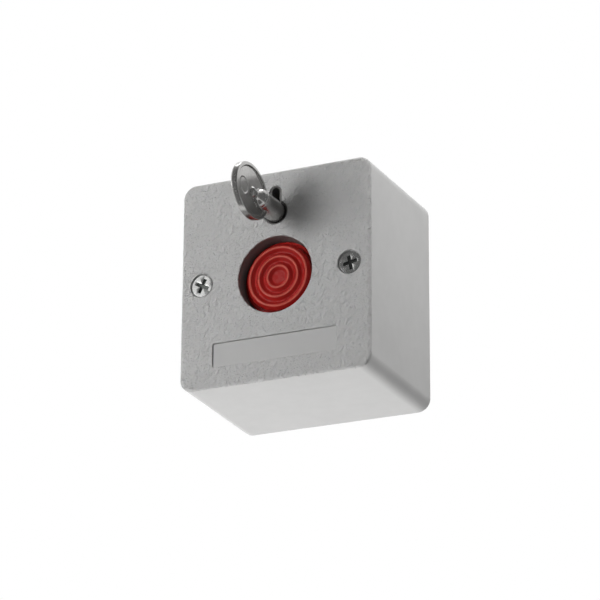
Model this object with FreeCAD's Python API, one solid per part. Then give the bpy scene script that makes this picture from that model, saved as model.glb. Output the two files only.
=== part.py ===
import FreeCAD, Part
import math
import os

# Wall-mounted panic button with a key reset.
# Millimetres. X points right as seen from the front, Z up, Y into the wall.
# The origin is the centre of the rear face, on the wall. The button's axis is the line X = 0, Z = 0.
# Depths, named front, rear, end or f, are measured backwards from the front face.

# Housing
FACE_WIDTH = 49.0
DRAFT_DEG = 0.6
CORNER_RADIUS = 3.2
FRONT_EDGE_RADIUS = 0.85
REAR_EDGE_RADIUS = 0.4
WALL = 2.0
FACE_WALL = 2.2
REBATE_WALL = 1.2
PLATE_THICKNESS = 3.0
PLATE_FLOOR = 2.0
PLATE_RIM = 1.6
TOP_ROOM = 0.6
REAR_ROOM = 0.7

# Clearances between pieces
FIT_GAP = 0.2
HOLE_GAP = 0.15
RUN_GAP = 0.25
SLIDE_GAP = 0.2
STOP_PLAY = 0.1
TOUCH_GAP = 0.12
CAGE_GAP = 0.1
STEP_GAP = 0.3

# How far a cutting shape passes a face, and how far a joined one reaches in
OVERCUT = 1.0
EMBED = 0.5
PILOT_EXTRA = 0.6
MIN_RADIUS = 0.5
SAME = 0.001

# Features of the front face
WELL_GAP = 1.25
WELL_WALL = 1.1
WELL_DEPTH = 6.0
MOUTH_RADIUS = 0.2
SINK_GAP = 0.2
SINK_STEP = 0.45
KEYHOLE_GAP = 0.55
KEYHOLE_SLOT_GAP = 0.75
KEYHOLE_TOP_GAP = 0.75
LINING_GAP = 0.1
LINING_FRONT = 0.3
LABEL_WIDTH = 31.8
LABEL_HEIGHT = 5.9
LABEL_EDGE = 5.05
LABEL_DEPTH = 0.35
LABEL_CORNER = 0.5

# Cover screws and the posts that take them
SCREW_INSET = 3.4
SCREW_HEAD_RADIUS = 2.75
SCREW_HEAD_DROP = 0.4
SCREW_HEAD_RIM = 0.2
SCREW_HEAD_CONE = 1.3
SCREW_RADIUS = 1.4
SCREW_TIP_RADIUS = 0.4
SCREW_LENGTH = 13.0
SCREW_TURNS_DEG = (27.0, -12.0)
SCREW_BOSS_WALL = 0.75
SCREW_BOSS_END = 5.0
POST_WALL = 1.4

# Recess of a cross-recess screw
CROSS_ARM = 1.0
CROSS_REACH = 0.78
CROSS_DEPTH = 0.55
CROSS_SHARE = 0.7

# Button
CAP_RADIUS = 8.3
CAP_DROP = 1.7
CAP_ROOF = 1.2
CAP_WALL = 1.2
CAP_FLANGE = 0.6
CAP_EDGE_RADIUS = 0.5
RIDGE_FIRST = 2.7
RIDGE_PITCH = 2.3
RIDGE_COUNT = 3
RIDGE_SLOPE_DEG = 45.0
RIDGE_ROUND = 0.45
CAP_SOCKET_WALL = 1.35
SPIGOT_RADIUS = 2.0
BUTTON_TRAVEL = 3.0

# Plunger
STEM_RADIUS = 3.9
CATCH_DEPTH = 1.0
TAIL_GROOVE_RADIUS = 2.6
TAIL_RADIUS = 3.4
TAIL_LENGTH = 1.05
TAIL_DOME = 0.8
CLIP_THICKNESS = 0.5
CLIP_RADIUS = 5.0
CLIP_BAND = 1.4
CLIP_TAB = 1.4
CLIP_MOUTH = 4.4

# Mechanism between two walls
FRAME_FRONT = 9.0
FRAME_WALL = 1.2
FRAME_CORNER = 1.5
FRAME_TOP_WALL = 0.8
FRAME_POST_GAP = 0.5
LATCH_THICKNESS = 1.4
SPRING_COLLAR_WALL = 0.7
SPRING_COLLAR_HEIGHT = 0.8
FRAME_SCREW_INSET = 2.8
FRAME_BOSS_RADIUS = 2.6
FRAME_SCREW_RADIUS = 1.1
FRAME_SCREW_BITE = 4.5
FRAME_HEAD_RADIUS = 2.3
FRAME_HEAD_HEIGHT = 1.4
HEAD_ROUND_SHARE = 0.45
FRAME_SCREW_TURN_DEG = 20.0

# Return spring of the button
RETURN_SPRING_GAP = 0.4
RETURN_SPRING_WIRE = 0.25
RETURN_SPRING_TURNS = 4.2

# Latch slide and its spring
LATCH_TRAVEL = 1.0
LATCH_SIDE = 2.4
LATCH_FOOT = 3.2
LATCH_NOSE_HALF = 2.2
LATCH_NOSE_FLARE = 1.0
LATCH_SHOULDER = 1.2
LATCH_TONGUE_HALF = 0.75
LATCH_TONGUE_LENGTH = 1.4
RAIL_WIDTH = 1.5
LATCH_SPRING_RADIUS = 1.35
LATCH_SPRING_WIRE = 0.18
LATCH_SPRING_TURNS = 6.0
LATCH_SPRING_LENGTH = 6.2
SEAT_BLOCK = 1.5

# Key
KEY_SHANK_RADIUS = 2.55
KEY_BIT_REACH = 6.0
KEY_BIT_WIDTH = 1.6
KEY_TURN_DEG = 80.0
KEY_TIP_CHAMFER = 0.8
SHANK_PROUD = 9.2
SHANK_ROOT_ROUND = 1.0
BOW_AHEAD = 13.9
BOW_HALF_DEPTH = 8.55
BOW_HALF_HEIGHT = 6.7
BOW_THICKNESS = 1.6
BOW_RIM = 0.95
BOW_SINK = 0.35
BOW_EDGE_ROUND = 0.3
RIB_RADIUS = 1.6
RIB_LENGTH = 4.6
MARK_AHEAD = 4.0
MARK_HALF_DEPTH = 2.1
MARK_HALF_HEIGHT = 1.95
MARK_DEPTH = 0.12

# Key guide
KEY_ABOVE_WELL = 0.35
GUIDE_WALL = 1.9
GUIDE_SIDE = 2.1
GUIDE_TOP_WALL = 1.8
GUIDE_FLANGE_HALF_HEIGHT = 3.4
GUIDE_FLANGE_THICKNESS = 1.2
PEG_GAP = 1.7
PEG_EDGE = 1.0
PEG_RADIUS = 1.0
PEG_HEAD_RIM = 0.7
PEG_HEAD_HEIGHT = 0.7

# Release cam
CAM_PROUD = 1.4
CAM_SLOT_WALL = 0.9
CAM_BASE_RADIUS = 6.6
CAM_LOBE_RISE = 2.0
CAM_LOBE_THICKNESS = 1.6
LOBE_POINTS = 16
LOBE_BACK_DEG = 12.0
LOBE_KNEE_SHARE = 0.6
LOBE_FOOT_SHARE = 0.5
JOURNAL_RADIUS = 3.0
JOURNAL_GROOVE = 0.7
BORE_FLOOR = 0.2
BORE_REST = 0.3

# Circuit board and its posts
BOARD_POST_LOW = -8.0
BOARD_POST_HIGH = 11.0
BOARD_POST_INSET = 2.4
BOARD_POST_RADIUS = 2.2
BOARD_THICKNESS = 1.6
BOARD_SIDE_GAP = 0.6
BOARD_LOW_EDGE = 0.6
BOARD_HIGH_EDGE = 1.0
BOARD_CORNER = 1.0
BOARD_SCREW_RADIUS = 0.8
BOARD_SCREW_LENGTH = 4.5
BOARD_HEAD_RADIUS = 1.7
BOARD_HEAD_HEIGHT = 1.0
BOARD_SCREW_TURN_DEG = 25.0

# Lever switch behind the plunger
SWITCH_ROOM = 0.85
SWITCH_HEIGHT = 6.0
SWITCH_HALF_WIDTH = 2.9
SWITCH_LOW = 3.8
SWITCH_LENGTH = 12.8
PIVOT_INSET = 2.2
PIVOT_AHEAD = 1.0
PIN_RADIUS = 0.5
EAR_WALL = 1.0
EAR_REACH = 1.1
LEVER_THICKNESS = 0.3
LEVER_PAST_AXIS = 1.0
ACTUATOR_ARM = 4.0
ACTUATOR_RADIUS = 0.75
ACTUATOR_INSIDE = 1.6
ACTUATOR_ROOM = 1.2
LEG_RADIUS = 0.45
LEG_PITCH = 4.9
LEG_PROUD = 0.9

# Terminal block on the rear of the board
POLE_COUNT = 4
POLE_PITCH = 5.08
BLOCK_END_WALL = 0.05
BLOCK_BELOW_SCREWS = 0.9
BLOCK_WIDTH = 8.0
BLOCK_HEIGHT = 5.8
BLOCK_FLOOR = 0.9
CAGE_HALF_WIDTH = 1.6
CAGE_MOUTH = 1.8
CAGE_BACK = 1.6
CAGE_HEIGHT = 3.0
CAGE_SIDE = 0.5
CAGE_FLOOR = 0.4
CAGE_BAR = 0.9
CLAMP_HEAD_RADIUS = 1.7
CLAMP_HEAD_HEIGHT = 1.2
CLAMP_SCREW_RADIUS = 0.9
CLAMP_SCREW_LENGTH = 1.9
CLAMP_SLOT = 0.5
BLOCK_PIN_INSET = 0.7
BLOCK_PIN_PROUD = 0.8

# Back plate features
ENTRY_RADIUS = 6.0
ENTRY_Z = 8.5
WALL_HOLE_RADIUS = 2.1
WALL_HOLE_Z = 18.5
WALL_SINK_RADIUS = 3.1

# Ridges of the cap, worked out from their slope and rounding
RIDGE_SLOPE = math.radians(RIDGE_SLOPE_DEG)
ROUND_REACH = RIDGE_ROUND * math.sin(RIDGE_SLOPE)
ROUND_DIP = RIDGE_ROUND * (1 - math.cos(RIDGE_SLOPE))
FLANK_DROP = (RIDGE_PITCH / 2 - 2 * ROUND_REACH) * math.tan(RIDGE_SLOPE)
RIDGE_HEIGHT = 2 * ROUND_DIP + FLANK_DROP

# Radii worked out from the sizes above
WELL_RADIUS = CAP_RADIUS + WELL_GAP
SINK_RADIUS = SCREW_HEAD_RADIUS + SINK_GAP
SCREW_BOSS_RADIUS = SINK_RADIUS + SCREW_BOSS_WALL
POST_RADIUS = SCREW_RADIUS + POST_WALL
STEM_HOLE = STEM_RADIUS + SLIDE_GAP
COLLAR_RADIUS = STEM_HOLE + SPRING_COLLAR_WALL
RETURN_SPRING_RADIUS = COLLAR_RADIUS + RETURN_SPRING_GAP + RETURN_SPRING_WIRE
SPIGOT_BORE = SPIGOT_RADIUS + HOLE_GAP
KEY_BORE = KEY_SHANK_RADIUS + SLIDE_GAP
KEY_SLOT_HALF = KEY_BIT_WIDTH / 2 + SLIDE_GAP
KEY_SLOT_REACH = KEY_BIT_REACH + 2 * SLIDE_GAP
KEYHOLE_RADIUS = KEY_SHANK_RADIUS + KEYHOLE_GAP
KEYHOLE_SLOT_HALF = KEY_BIT_WIDTH / 2 + KEYHOLE_SLOT_GAP
KEYHOLE_TOP = KEY_BIT_REACH + KEYHOLE_TOP_GAP
GUIDE_RADIUS = KEY_BORE + GUIDE_WALL
CAM_RADIUS = KEY_BIT_REACH + CAM_SLOT_WALL

# Places across the face
KEY_Z = WELL_RADIUS + WELL_WALL + KEY_ABOVE_WELL + GUIDE_RADIUS
FRAME_HIGH = KEY_Z + CAM_RADIUS + SLIDE_GAP + FRAME_TOP_WALL
FACE_HEIGHT = 2 * (FRAME_HIGH + TOP_ROOM + WALL)
LABEL_LOW = LABEL_EDGE - FACE_HEIGHT / 2
LABEL_HIGH = LABEL_LOW + LABEL_HEIGHT
SCREW_X = FACE_WIDTH / 2 - WALL - SCREW_INSET
FRAME_HALF_WIDTH = SCREW_X - POST_RADIUS - FRAME_POST_GAP
LATCH_NOSE_Z = KEY_Z - CAM_BASE_RADIUS - CATCH_DEPTH - SLIDE_GAP
LATCH_HALF_WIDTH = STEM_HOLE + LATCH_SIDE
LATCH_WINDOW_SHIFT = LATCH_TRAVEL + STEP_GAP
LATCH_LOW = -STEM_HOLE - LATCH_FOOT
LATCH_SPRING_SEAT = LATCH_LOW - LATCH_SPRING_LENGTH
RAIL_INNER = LATCH_HALF_WIDTH + SLIDE_GAP
RAIL_LOW = LATCH_LOW - LATCH_TRAVEL - STEP_GAP
RAIL_HIGH = LATCH_NOSE_Z - LATCH_TRAVEL
FRAME_LOW = LATCH_SPRING_SEAT - SEAT_BLOCK - FRAME_SCREW_INSET
FRAME_SCREW_X = FRAME_HALF_WIDTH - FRAME_SCREW_INSET
FRAME_SCREW_ROWS = (FRAME_LOW + FRAME_SCREW_INSET, FRAME_HIGH - FRAME_SCREW_INSET)
FRAME_SCREW_PLACES = [(x, z) for z in FRAME_SCREW_ROWS for x in (-FRAME_SCREW_X, FRAME_SCREW_X)]
PEG_X = GUIDE_RADIUS + PEG_GAP + PEG_RADIUS
BOARD_HALF_WIDTH = FRAME_HALF_WIDTH - BOARD_SIDE_GAP
BOARD_POST_X = BOARD_HALF_WIDTH - BOARD_POST_INSET
BOARD_POSTS = [(x, z) for z in (BOARD_POST_LOW, BOARD_POST_HIGH) for x in (-BOARD_POST_X, BOARD_POST_X)]
PIVOT_Z = SWITCH_LOW + SWITCH_LENGTH - PIVOT_INSET
BLOCK_HIGH = BOARD_POST_LOW - BOARD_HEAD_RADIUS - BLOCK_BELOW_SCREWS
BLOCK_LOW = BLOCK_HIGH - BLOCK_WIDTH
BOARD_LOW = BLOCK_LOW - BOARD_LOW_EDGE
BOARD_HIGH = SWITCH_LOW + SWITCH_LENGTH + BOARD_HIGH_EDGE
CAGE_LOW = BLOCK_LOW + CAGE_MOUTH
CAGE_HIGH = BLOCK_HIGH - CAGE_BACK
CLAMP_SCREW_Z = (CAGE_LOW + CAGE_HIGH) / 2
BLOCK_PIN_Z = CAGE_HIGH - BLOCK_PIN_INSET
POLES = [POLE_PITCH * (i - (POLE_COUNT - 1) / 2) for i in range(POLE_COUNT)]

# Places in depth
FRAME_REAR = FRAME_FRONT + FRAME_WALL
LATCH_FRONT = FRAME_REAR + STEP_GAP
LATCH_REAR = LATCH_FRONT + LATCH_THICKNESS
LATCH_MIDDLE = (LATCH_FRONT + LATCH_REAR) / 2
COVER_FRONT = LATCH_REAR + STEP_GAP
COVER_REAR = COVER_FRONT + FRAME_WALL
CAM_FRONT = FRAME_FRONT - CAM_PROUD
CAM_DISC_REAR = FRAME_REAR + SLIDE_GAP
LOBE_REAR = CAM_DISC_REAR + CAM_LOBE_THICKNESS
GUIDE_END = CAM_FRONT - STEP_GAP
KEY_BIT_FRONT = CAM_FRONT + STEP_GAP
KEY_BIT_REAR = CAM_DISC_REAR - STEP_GAP
KEY_TIP = LOBE_REAR - BORE_FLOOR - BORE_REST
SHANK_ROOT = -SHANK_PROUD
BOW_CENTRE = -BOW_AHEAD
CAP_SKIRT_END = CAM_FRONT - BUTTON_TRAVEL - SLIDE_GAP
CAP_SOCKET_END = FRAME_FRONT - SPRING_COLLAR_HEIGHT - BUTTON_TRAVEL - SLIDE_GAP
CAP_ROOF_REAR = CAP_DROP + RIDGE_HEIGHT + CAP_ROOF
GROOVE_FRONT = LATCH_FRONT - BUTTON_TRAVEL - SLIDE_GAP
GROOVE_REAR = LATCH_REAR - BUTTON_TRAVEL + STEP_GAP
CLIP_FRONT = COVER_REAR + STOP_PLAY
CLIP_REAR = CLIP_FRONT + CLIP_THICKNESS
CLIP_GROOVE_FRONT = CLIP_FRONT - STOP_PLAY / 2
CLIP_GROOVE_REAR = CLIP_REAR + STOP_PLAY / 2
TAIL_END = CLIP_REAR + TAIL_LENGTH
DOME_RADIUS = (TAIL_RADIUS ** 2 + TAIL_DOME ** 2) / (2 * TAIL_DOME)
DOME_CENTRE = TAIL_END - DOME_RADIUS
SWITCH_FRONT = TAIL_END + BUTTON_TRAVEL + SWITCH_ROOM
BOARD_FRONT = SWITCH_FRONT + SWITCH_HEIGHT
BOARD_REAR = BOARD_FRONT + BOARD_THICKNESS
PIVOT_F = SWITCH_FRONT - PIVOT_AHEAD
BLOCK_REAR = BOARD_REAR + BLOCK_HEIGHT
CAGE_FRONT = BOARD_REAR + BLOCK_FLOOR + CAGE_GAP
CAGE_REAR = CAGE_FRONT + CAGE_HEIGHT
FLOOR_FRONT = BLOCK_REAR + REAR_ROOM
DEPTH = FLOOR_FRONT + PLATE_FLOOR
REBATE_FRONT = DEPTH - PLATE_THICKNESS

DOWN = -90.0


def at(x, f, z):
    return FreeCAD.Vector(x, f - DEPTH, z)


def is_ring_at(edge, f):
    curve = edge.Curve
    return isinstance(curve, Part.Circle) and abs(curve.Center.y + DEPTH - f) < SAME


def edges_at(shape, f):
    # The edges that lie whole in the plane at a depth
    return [e for e in shape.Edges if all(abs(v.Y + DEPTH - f) < SAME for v in e.Vertexes)]


def along_y(f):
    return FreeCAD.Vector(0, f, 0)


def rod(radius, f0, f1, x=0.0, z=0.0):
    return Part.makeCylinder(radius, f1 - f0, at(x, f0, z), FreeCAD.Vector(0, 1, 0))


def cone(r0, r1, f0, f1, x=0.0, z=0.0):
    return Part.makeCone(r0, r1, f1 - f0, at(x, f0, z), FreeCAD.Vector(0, 1, 0))


def slab(x0, x1, f0, f1, z0, z1):
    return Part.makeBox(x1 - x0, f1 - f0, z1 - z0, at(x0, f0, z0))


def rounded_wire(x0, x1, z0, z1, radius, f):
    # A rectangle with round corners, as four lines and four arcs
    half = math.sqrt(0.5)
    edges = []
    corners = ((x1 - radius, z1 - radius, 1, 1), (x0 + radius, z1 - radius, -1, 1),
               (x0 + radius, z0 + radius, -1, -1), (x1 - radius, z0 + radius, 1, -1))
    ends = []
    for cx, cz, sx, sz in corners:
        side = at(cx + sx * radius, f, cz)
        top = at(cx, f, cz + sz * radius)
        mid = at(cx + sx * radius * half, f, cz + sz * radius * half)
        first, last = (side, top) if sx == sz else (top, side)
        edges.append(Part.Arc(first, mid, last).toShape())
        ends.append((first, last))
    for i in range(4):
        edges.append(Part.LineSegment(ends[i][1], ends[(i + 1) % 4][0]).toShape())
    return Part.Wire(Part.__sortEdges__(edges))


def rounded_slab(x0, x1, z0, z1, radius, f0, f1):
    face = Part.Face(rounded_wire(x0, x1, z0, z1, radius, f0))
    return face.extrude(along_y(f1 - f0))


def shell_wire(inset, f):
    # The housing's outline at a depth, moved inwards by an inset
    grow = f * math.tan(math.radians(DRAFT_DEG)) - inset
    half_x = FACE_WIDTH / 2 + grow
    half_z = FACE_HEIGHT / 2 + grow
    radius = max(CORNER_RADIUS - inset, MIN_RADIUS)
    return rounded_wire(-half_x, half_x, -half_z, half_z, radius, f)


def shell_block(inset, f0, f1):
    return Part.makeLoft([shell_wire(inset, f0), shell_wire(inset, f1)], True, True)


def turned(edges, x=0.0, z=0.0):
    # A closed outline in the half plane through an axis along Y, turned once round it
    face = Part.Face(Part.Wire(Part.__sortEdges__(edges)))
    return face.revolve(at(x, 0, z), FreeCAD.Vector(0, 1, 0), 360)


def stadium(radius, z0, z1, f0, f1, x=0.0):
    low = rod(radius, f0, f1, x, z0)
    high = rod(radius, f0, f1, x, z1)
    return low.fuse([high, slab(x - radius, x + radius, f0, f1, z0, z1)]).removeSplitter()


def keyway(radius, half_slot, reach, f0, f1):
    # A round hole with a slot straight up from it, its end round
    hole = rod(radius, f0, f1, 0, KEY_Z)
    end = KEY_Z + reach - half_slot
    slot = slab(-half_slot, half_slot, f0, f1, KEY_Z, end)
    return hole.fuse([slot, rod(half_slot, f0, f1, 0, end)]).removeSplitter()


def cross_recess(head_radius, f_top, depth, sign, turn, x, z):
    # Two crossed arms, cut into a screw head from its top; sign is 1 for a head that faces the front
    reach = head_radius * CROSS_REACH
    f0, f1 = sorted((f_top - sign * OVERCUT, f_top + sign * depth))
    arms = []
    for half_x, half_z in ((reach, CROSS_ARM / 2), (CROSS_ARM / 2, reach)):
        arms.append(slab(x - half_x, x + half_x, f0, f1, z - half_z, z + half_z))
    tool = arms[0].fuse(arms[1])
    tool.rotate(at(x, 0, z), FreeCAD.Vector(0, 1, 0), turn)
    return tool


def mouth_edges(body):
    # The edges of the openings in the front face, without the face's own outline
    flat_x = FACE_WIDTH / 2 - FRONT_EDGE_RADIUS - FIT_GAP
    flat_z = FACE_HEIGHT / 2 - FRONT_EDGE_RADIUS - FIT_GAP
    mouths = []
    for edge in edges_at(body, 0):
        if all(abs(v.X) < flat_x and abs(v.Z) < flat_z for v in edge.Vertexes):
            mouths.append(edge)
    return mouths


def front_cover():
    body = shell_block(0, 0, DEPTH)
    body = body.makeFillet(FRONT_EDGE_RADIUS, edges_at(body, 0))
    body = body.makeFillet(REAR_EDGE_RADIUS, edges_at(body, DEPTH))
    body = body.cut(shell_block(WALL, FACE_WALL, DEPTH))
    body = body.cut(shell_block(REBATE_WALL, REBATE_FRONT, DEPTH + OVERCUT))
    inside = FACE_WALL - EMBED
    peg_end = FACE_WALL + GUIDE_FLANGE_THICKNESS + STOP_PLAY
    adds = [rod(WELL_RADIUS + WELL_WALL, inside, WELL_DEPTH)]
    for side in (-1, 1):
        adds.append(rod(SCREW_BOSS_RADIUS, inside, SCREW_BOSS_END, side * SCREW_X))
        adds.append(rod(PEG_RADIUS, inside, peg_end + EMBED, side * PEG_X, KEY_Z))
    for x, z in FRAME_SCREW_PLACES:
        adds.append(rod(FRAME_BOSS_RADIUS, inside, FRAME_FRONT, x, z))
    body = body.fuse(adds)
    heads = []
    for side in (-1, 1):
        head_end = peg_end + PEG_HEAD_HEIGHT
        heads.append(rod(PEG_RADIUS + PEG_HEAD_RIM, peg_end, head_end, side * PEG_X, KEY_Z))
    body = body.fuse(heads)
    cuts = [rod(WELL_RADIUS, -OVERCUT, WELL_DEPTH + OVERCUT)]
    cuts.append(keyway(KEYHOLE_RADIUS, KEYHOLE_SLOT_HALF, KEYHOLE_TOP, -OVERCUT, FACE_WALL + OVERCUT))
    half = LABEL_WIDTH / 2
    cuts.append(rounded_slab(-half, half, LABEL_LOW, LABEL_HIGH, LABEL_CORNER, -OVERCUT, LABEL_DEPTH))
    shank_hole = SCREW_RADIUS + HOLE_GAP
    slope = (SCREW_HEAD_RADIUS - SCREW_RADIUS) / SCREW_HEAD_CONE
    sink_end = SINK_STEP + (SINK_RADIUS - shank_hole) / slope
    for side in (-1, 1):
        x = side * SCREW_X
        cuts.append(rod(SINK_RADIUS, -OVERCUT, SINK_STEP, x))
        cuts.append(cone(SINK_RADIUS, shank_hole, SINK_STEP, sink_end, x))
        cuts.append(rod(shank_hole, sink_end, SCREW_BOSS_END + OVERCUT, x))
    for x, z in FRAME_SCREW_PLACES:
        pilot = FRAME_SCREW_RADIUS + HOLE_GAP
        cuts.append(rod(pilot, FRAME_SCREW_BITE - PILOT_EXTRA, FRAME_FRONT + OVERCUT, x, z))
    body = body.cut(cuts)
    return body.makeFillet(MOUTH_RADIUS, mouth_edges(body))


def back_plate():
    inset = REBATE_WALL + FIT_GAP
    plate = shell_block(inset, REBATE_FRONT, DEPTH)
    plate = plate.cut(shell_block(inset + PLATE_RIM, REBATE_FRONT - OVERCUT, FLOOR_FRONT))
    posts = []
    for side in (-1, 1):
        posts.append(rod(POST_RADIUS, SCREW_BOSS_END, FLOOR_FRONT + EMBED, side * SCREW_X))
    plate = plate.fuse(posts)
    cuts = [rod(ENTRY_RADIUS, FLOOR_FRONT - OVERCUT, DEPTH + OVERCUT, 0, ENTRY_Z)]
    pilot_end = SCREW_HEAD_DROP + SCREW_LENGTH + PILOT_EXTRA
    for side in (-1, 1):
        cuts.append(rod(SCREW_RADIUS + HOLE_GAP, SCREW_BOSS_END - OVERCUT, pilot_end, side * SCREW_X))
        z = side * WALL_HOLE_Z
        cuts.append(rod(WALL_HOLE_RADIUS, FLOOR_FRONT - OVERCUT, DEPTH + OVERCUT, 0, z))
        drop = WALL_SINK_RADIUS - WALL_HOLE_RADIUS
        cuts.append(cone(WALL_SINK_RADIUS, WALL_HOLE_RADIUS, FLOOR_FRONT, FLOOR_FRONT + drop, 0, z))
    return plate.cut(cuts)


def cover_screws():
    screws = []
    for side, turn in zip((-1, 1), SCREW_TURNS_DEG):
        x = side * SCREW_X
        top = SCREW_HEAD_DROP
        rim = top + SCREW_HEAD_RIM
        tip = top + SCREW_LENGTH
        screw = rod(SCREW_HEAD_RADIUS, top, rim, x)
        screw = screw.fuse([cone(SCREW_HEAD_RADIUS, SCREW_RADIUS, rim, rim + SCREW_HEAD_CONE, x),
                            rod(SCREW_RADIUS, rim + SCREW_HEAD_CONE, tip - SCREW_RADIUS, x),
                            cone(SCREW_RADIUS, SCREW_TIP_RADIUS, tip - SCREW_RADIUS, tip, x)])
        screws.append(screw.cut(cross_recess(SCREW_HEAD_RADIUS, top, CROSS_DEPTH, 1, turn, x, 0)))
    return Part.makeCompound(screws)


def line(start, end):
    return Part.LineSegment(at(*start), at(*end)).toShape()


def arc(start, middle, end):
    return Part.Arc(at(*start), at(*middle), at(*end)).toShape()


def outline(points):
    # Straight edges through points of radius and depth, in the half plane Z = 0
    ends = [(radius, f, 0) for radius, f in points]
    return [line(start, end) for start, end in zip(ends, ends[1:])]


def ridges():
    # A flat disc in the middle, then straight flanks between round crests and round valleys
    top = CAP_DROP
    low = top + RIDGE_HEIGHT
    first = RIDGE_FIRST - RIDGE_PITCH / 2
    lean = RIDGE_SLOPE / 2
    bend = (first + RIDGE_ROUND * math.sin(lean), low - RIDGE_ROUND * (1 - math.cos(lean)), 0)
    start = (first + ROUND_REACH, low - ROUND_DIP, 0)
    edges = [line((0, low, 0), (first, low, 0)), arc((first, low, 0), bend, start)]
    for i in range(RIDGE_COUNT):
        crest = RIDGE_FIRST + RIDGE_PITCH * i
        valley = crest + RIDGE_PITCH / 2
        rise = (crest - ROUND_REACH, top + ROUND_DIP, 0)
        fall = (crest + ROUND_REACH, top + ROUND_DIP, 0)
        edges.append(line(start, rise))
        edges.append(arc(rise, (crest, top, 0), fall))
        if i < RIDGE_COUNT - 1:
            foot = (valley - ROUND_REACH, low - ROUND_DIP, 0)
            start = (valley + ROUND_REACH, low - ROUND_DIP, 0)
            edges.append(line(fall, foot))
            edges.append(arc(foot, (valley, low, 0), start))
    return edges, fall


def button_cap():
    edges, fall = ridges()
    # The last flank runs on to the corner, whose rounding ends on the cap's side
    corner = CAP_RADIUS - CAP_EDGE_RADIUS * (1 - math.cos(RIDGE_SLOPE))
    corner_f = fall[1] + (corner - fall[0]) * math.tan(RIDGE_SLOPE)
    side = corner_f + CAP_EDGE_RADIUS * math.sin(RIDGE_SLOPE)
    lean = RIDGE_SLOPE / 2
    middle = CAP_RADIUS - CAP_EDGE_RADIUS * (1 - math.cos(lean))
    middle_f = side - CAP_EDGE_RADIUS * math.sin(lean)
    edges.append(line(fall, (corner, corner_f, 0)))
    edges.append(arc((corner, corner_f, 0), (middle, middle_f, 0), (CAP_RADIUS, side, 0)))
    flange = WELL_RADIUS - RUN_GAP
    socket = SPIGOT_BORE + CAP_SOCKET_WALL
    skirt = CAP_RADIUS - CAP_WALL
    flange_front = CAP_SKIRT_END - CAP_FLANGE
    roof = CAP_ROOF_REAR
    edges += outline([(CAP_RADIUS, side), (CAP_RADIUS, flange_front), (flange, flange_front),
                      (flange, CAP_SKIRT_END), (skirt, CAP_SKIRT_END), (skirt, roof), (socket, roof),
                      (socket, CAP_SOCKET_END), (SPIGOT_BORE, CAP_SOCKET_END), (SPIGOT_BORE, roof),
                      (0, roof), (0, CAP_DROP + RIDGE_HEIGHT)])
    return turned(edges)


def plunger():
    roof = CAP_ROOF_REAR
    dome_start = TAIL_END - TAIL_DOME
    groove = STEM_RADIUS - CATCH_DEPTH
    points = [(0, roof + STOP_PLAY), (SPIGOT_RADIUS, roof + STOP_PLAY), (SPIGOT_RADIUS, CAP_SOCKET_END),
              (STEM_RADIUS, CAP_SOCKET_END), (STEM_RADIUS, GROOVE_FRONT), (groove, GROOVE_FRONT),
              (groove, GROOVE_REAR), (STEM_RADIUS, GROOVE_REAR), (STEM_RADIUS, CLIP_GROOVE_FRONT),
              (TAIL_GROOVE_RADIUS, CLIP_GROOVE_FRONT), (TAIL_GROOVE_RADIUS, CLIP_GROOVE_REAR),
              (TAIL_RADIUS, CLIP_GROOVE_REAR), (TAIL_RADIUS, dome_start)]
    edges = outline(points)
    half_r = TAIL_RADIUS / 2
    half_f = DOME_CENTRE + math.sqrt(DOME_RADIUS ** 2 - half_r ** 2)
    edges.append(arc((TAIL_RADIUS, dome_start, 0), (half_r, half_f, 0), (0, TAIL_END, 0)))
    edges.append(line((0, TAIL_END, 0), (0, roof + STOP_PLAY, 0)))
    return turned(edges)


def retaining_clip(groove_radius, outer, x, z):
    # An E-shaped clip: an open band with three tabs that reach into the groove
    inner = outer - CLIP_BAND
    f0 = CLIP_FRONT - OVERCUT
    f1 = CLIP_REAR + OVERCUT
    band = rod(outer, CLIP_FRONT, CLIP_REAR, x, z).cut(rod(inner, f0, f1, x, z))
    mouth = CLIP_MOUTH / 2 * outer / CLIP_RADIUS
    band = band.cut(slab(x - mouth, x + mouth, f0, f1, z - outer - OVERCUT, z))
    tabs = []
    for turn in (0, 90, 180):
        tab = slab(x + groove_radius, x + inner + STOP_PLAY, CLIP_FRONT, CLIP_REAR,
                   z - CLIP_TAB / 2, z + CLIP_TAB / 2)
        tab = tab.cut(rod(groove_radius + STOP_PLAY, f0, f1, x, z))
        tab.rotate(at(x, 0, z), FreeCAD.Vector(0, 1, 0), -turn)
        tabs.append(tab)
    return band.fuse(tabs).removeSplitter()


def coil(radius, wire, turns, length):
    # A helix standing on the XY plane about the Z axis
    pitch = (length - 2 * wire) / turns
    path = Part.makeHelix(pitch, pitch * turns, radius)
    circle = Part.Circle(FreeCAD.Vector(radius, 0, 0), FreeCAD.Vector(0, 1, 0), wire)
    section = Part.Wire([circle.toShape()])
    spring = Part.Wire(path).makePipeShell([section], True, True)
    spring.translate(FreeCAD.Vector(0, 0, wire))
    return spring


def return_spring():
    front = CAP_ROOF_REAR + STOP_PLAY / 2
    rear = FRAME_FRONT - STOP_PLAY / 2
    spring = coil(RETURN_SPRING_RADIUS, RETURN_SPRING_WIRE, RETURN_SPRING_TURNS, rear - front)
    spring.rotate(FreeCAD.Vector(0, 0, 0), FreeCAD.Vector(1, 0, 0), -90)
    spring.translate(at(0, front, 0))
    return spring


def latch_spring():
    length = LATCH_LOW - LATCH_SPRING_SEAT - STOP_PLAY
    spring = coil(LATCH_SPRING_RADIUS, LATCH_SPRING_WIRE, LATCH_SPRING_TURNS, length)
    spring.translate(at(0, LATCH_MIDDLE, LATCH_SPRING_SEAT + STOP_PLAY / 2))
    return spring


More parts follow.
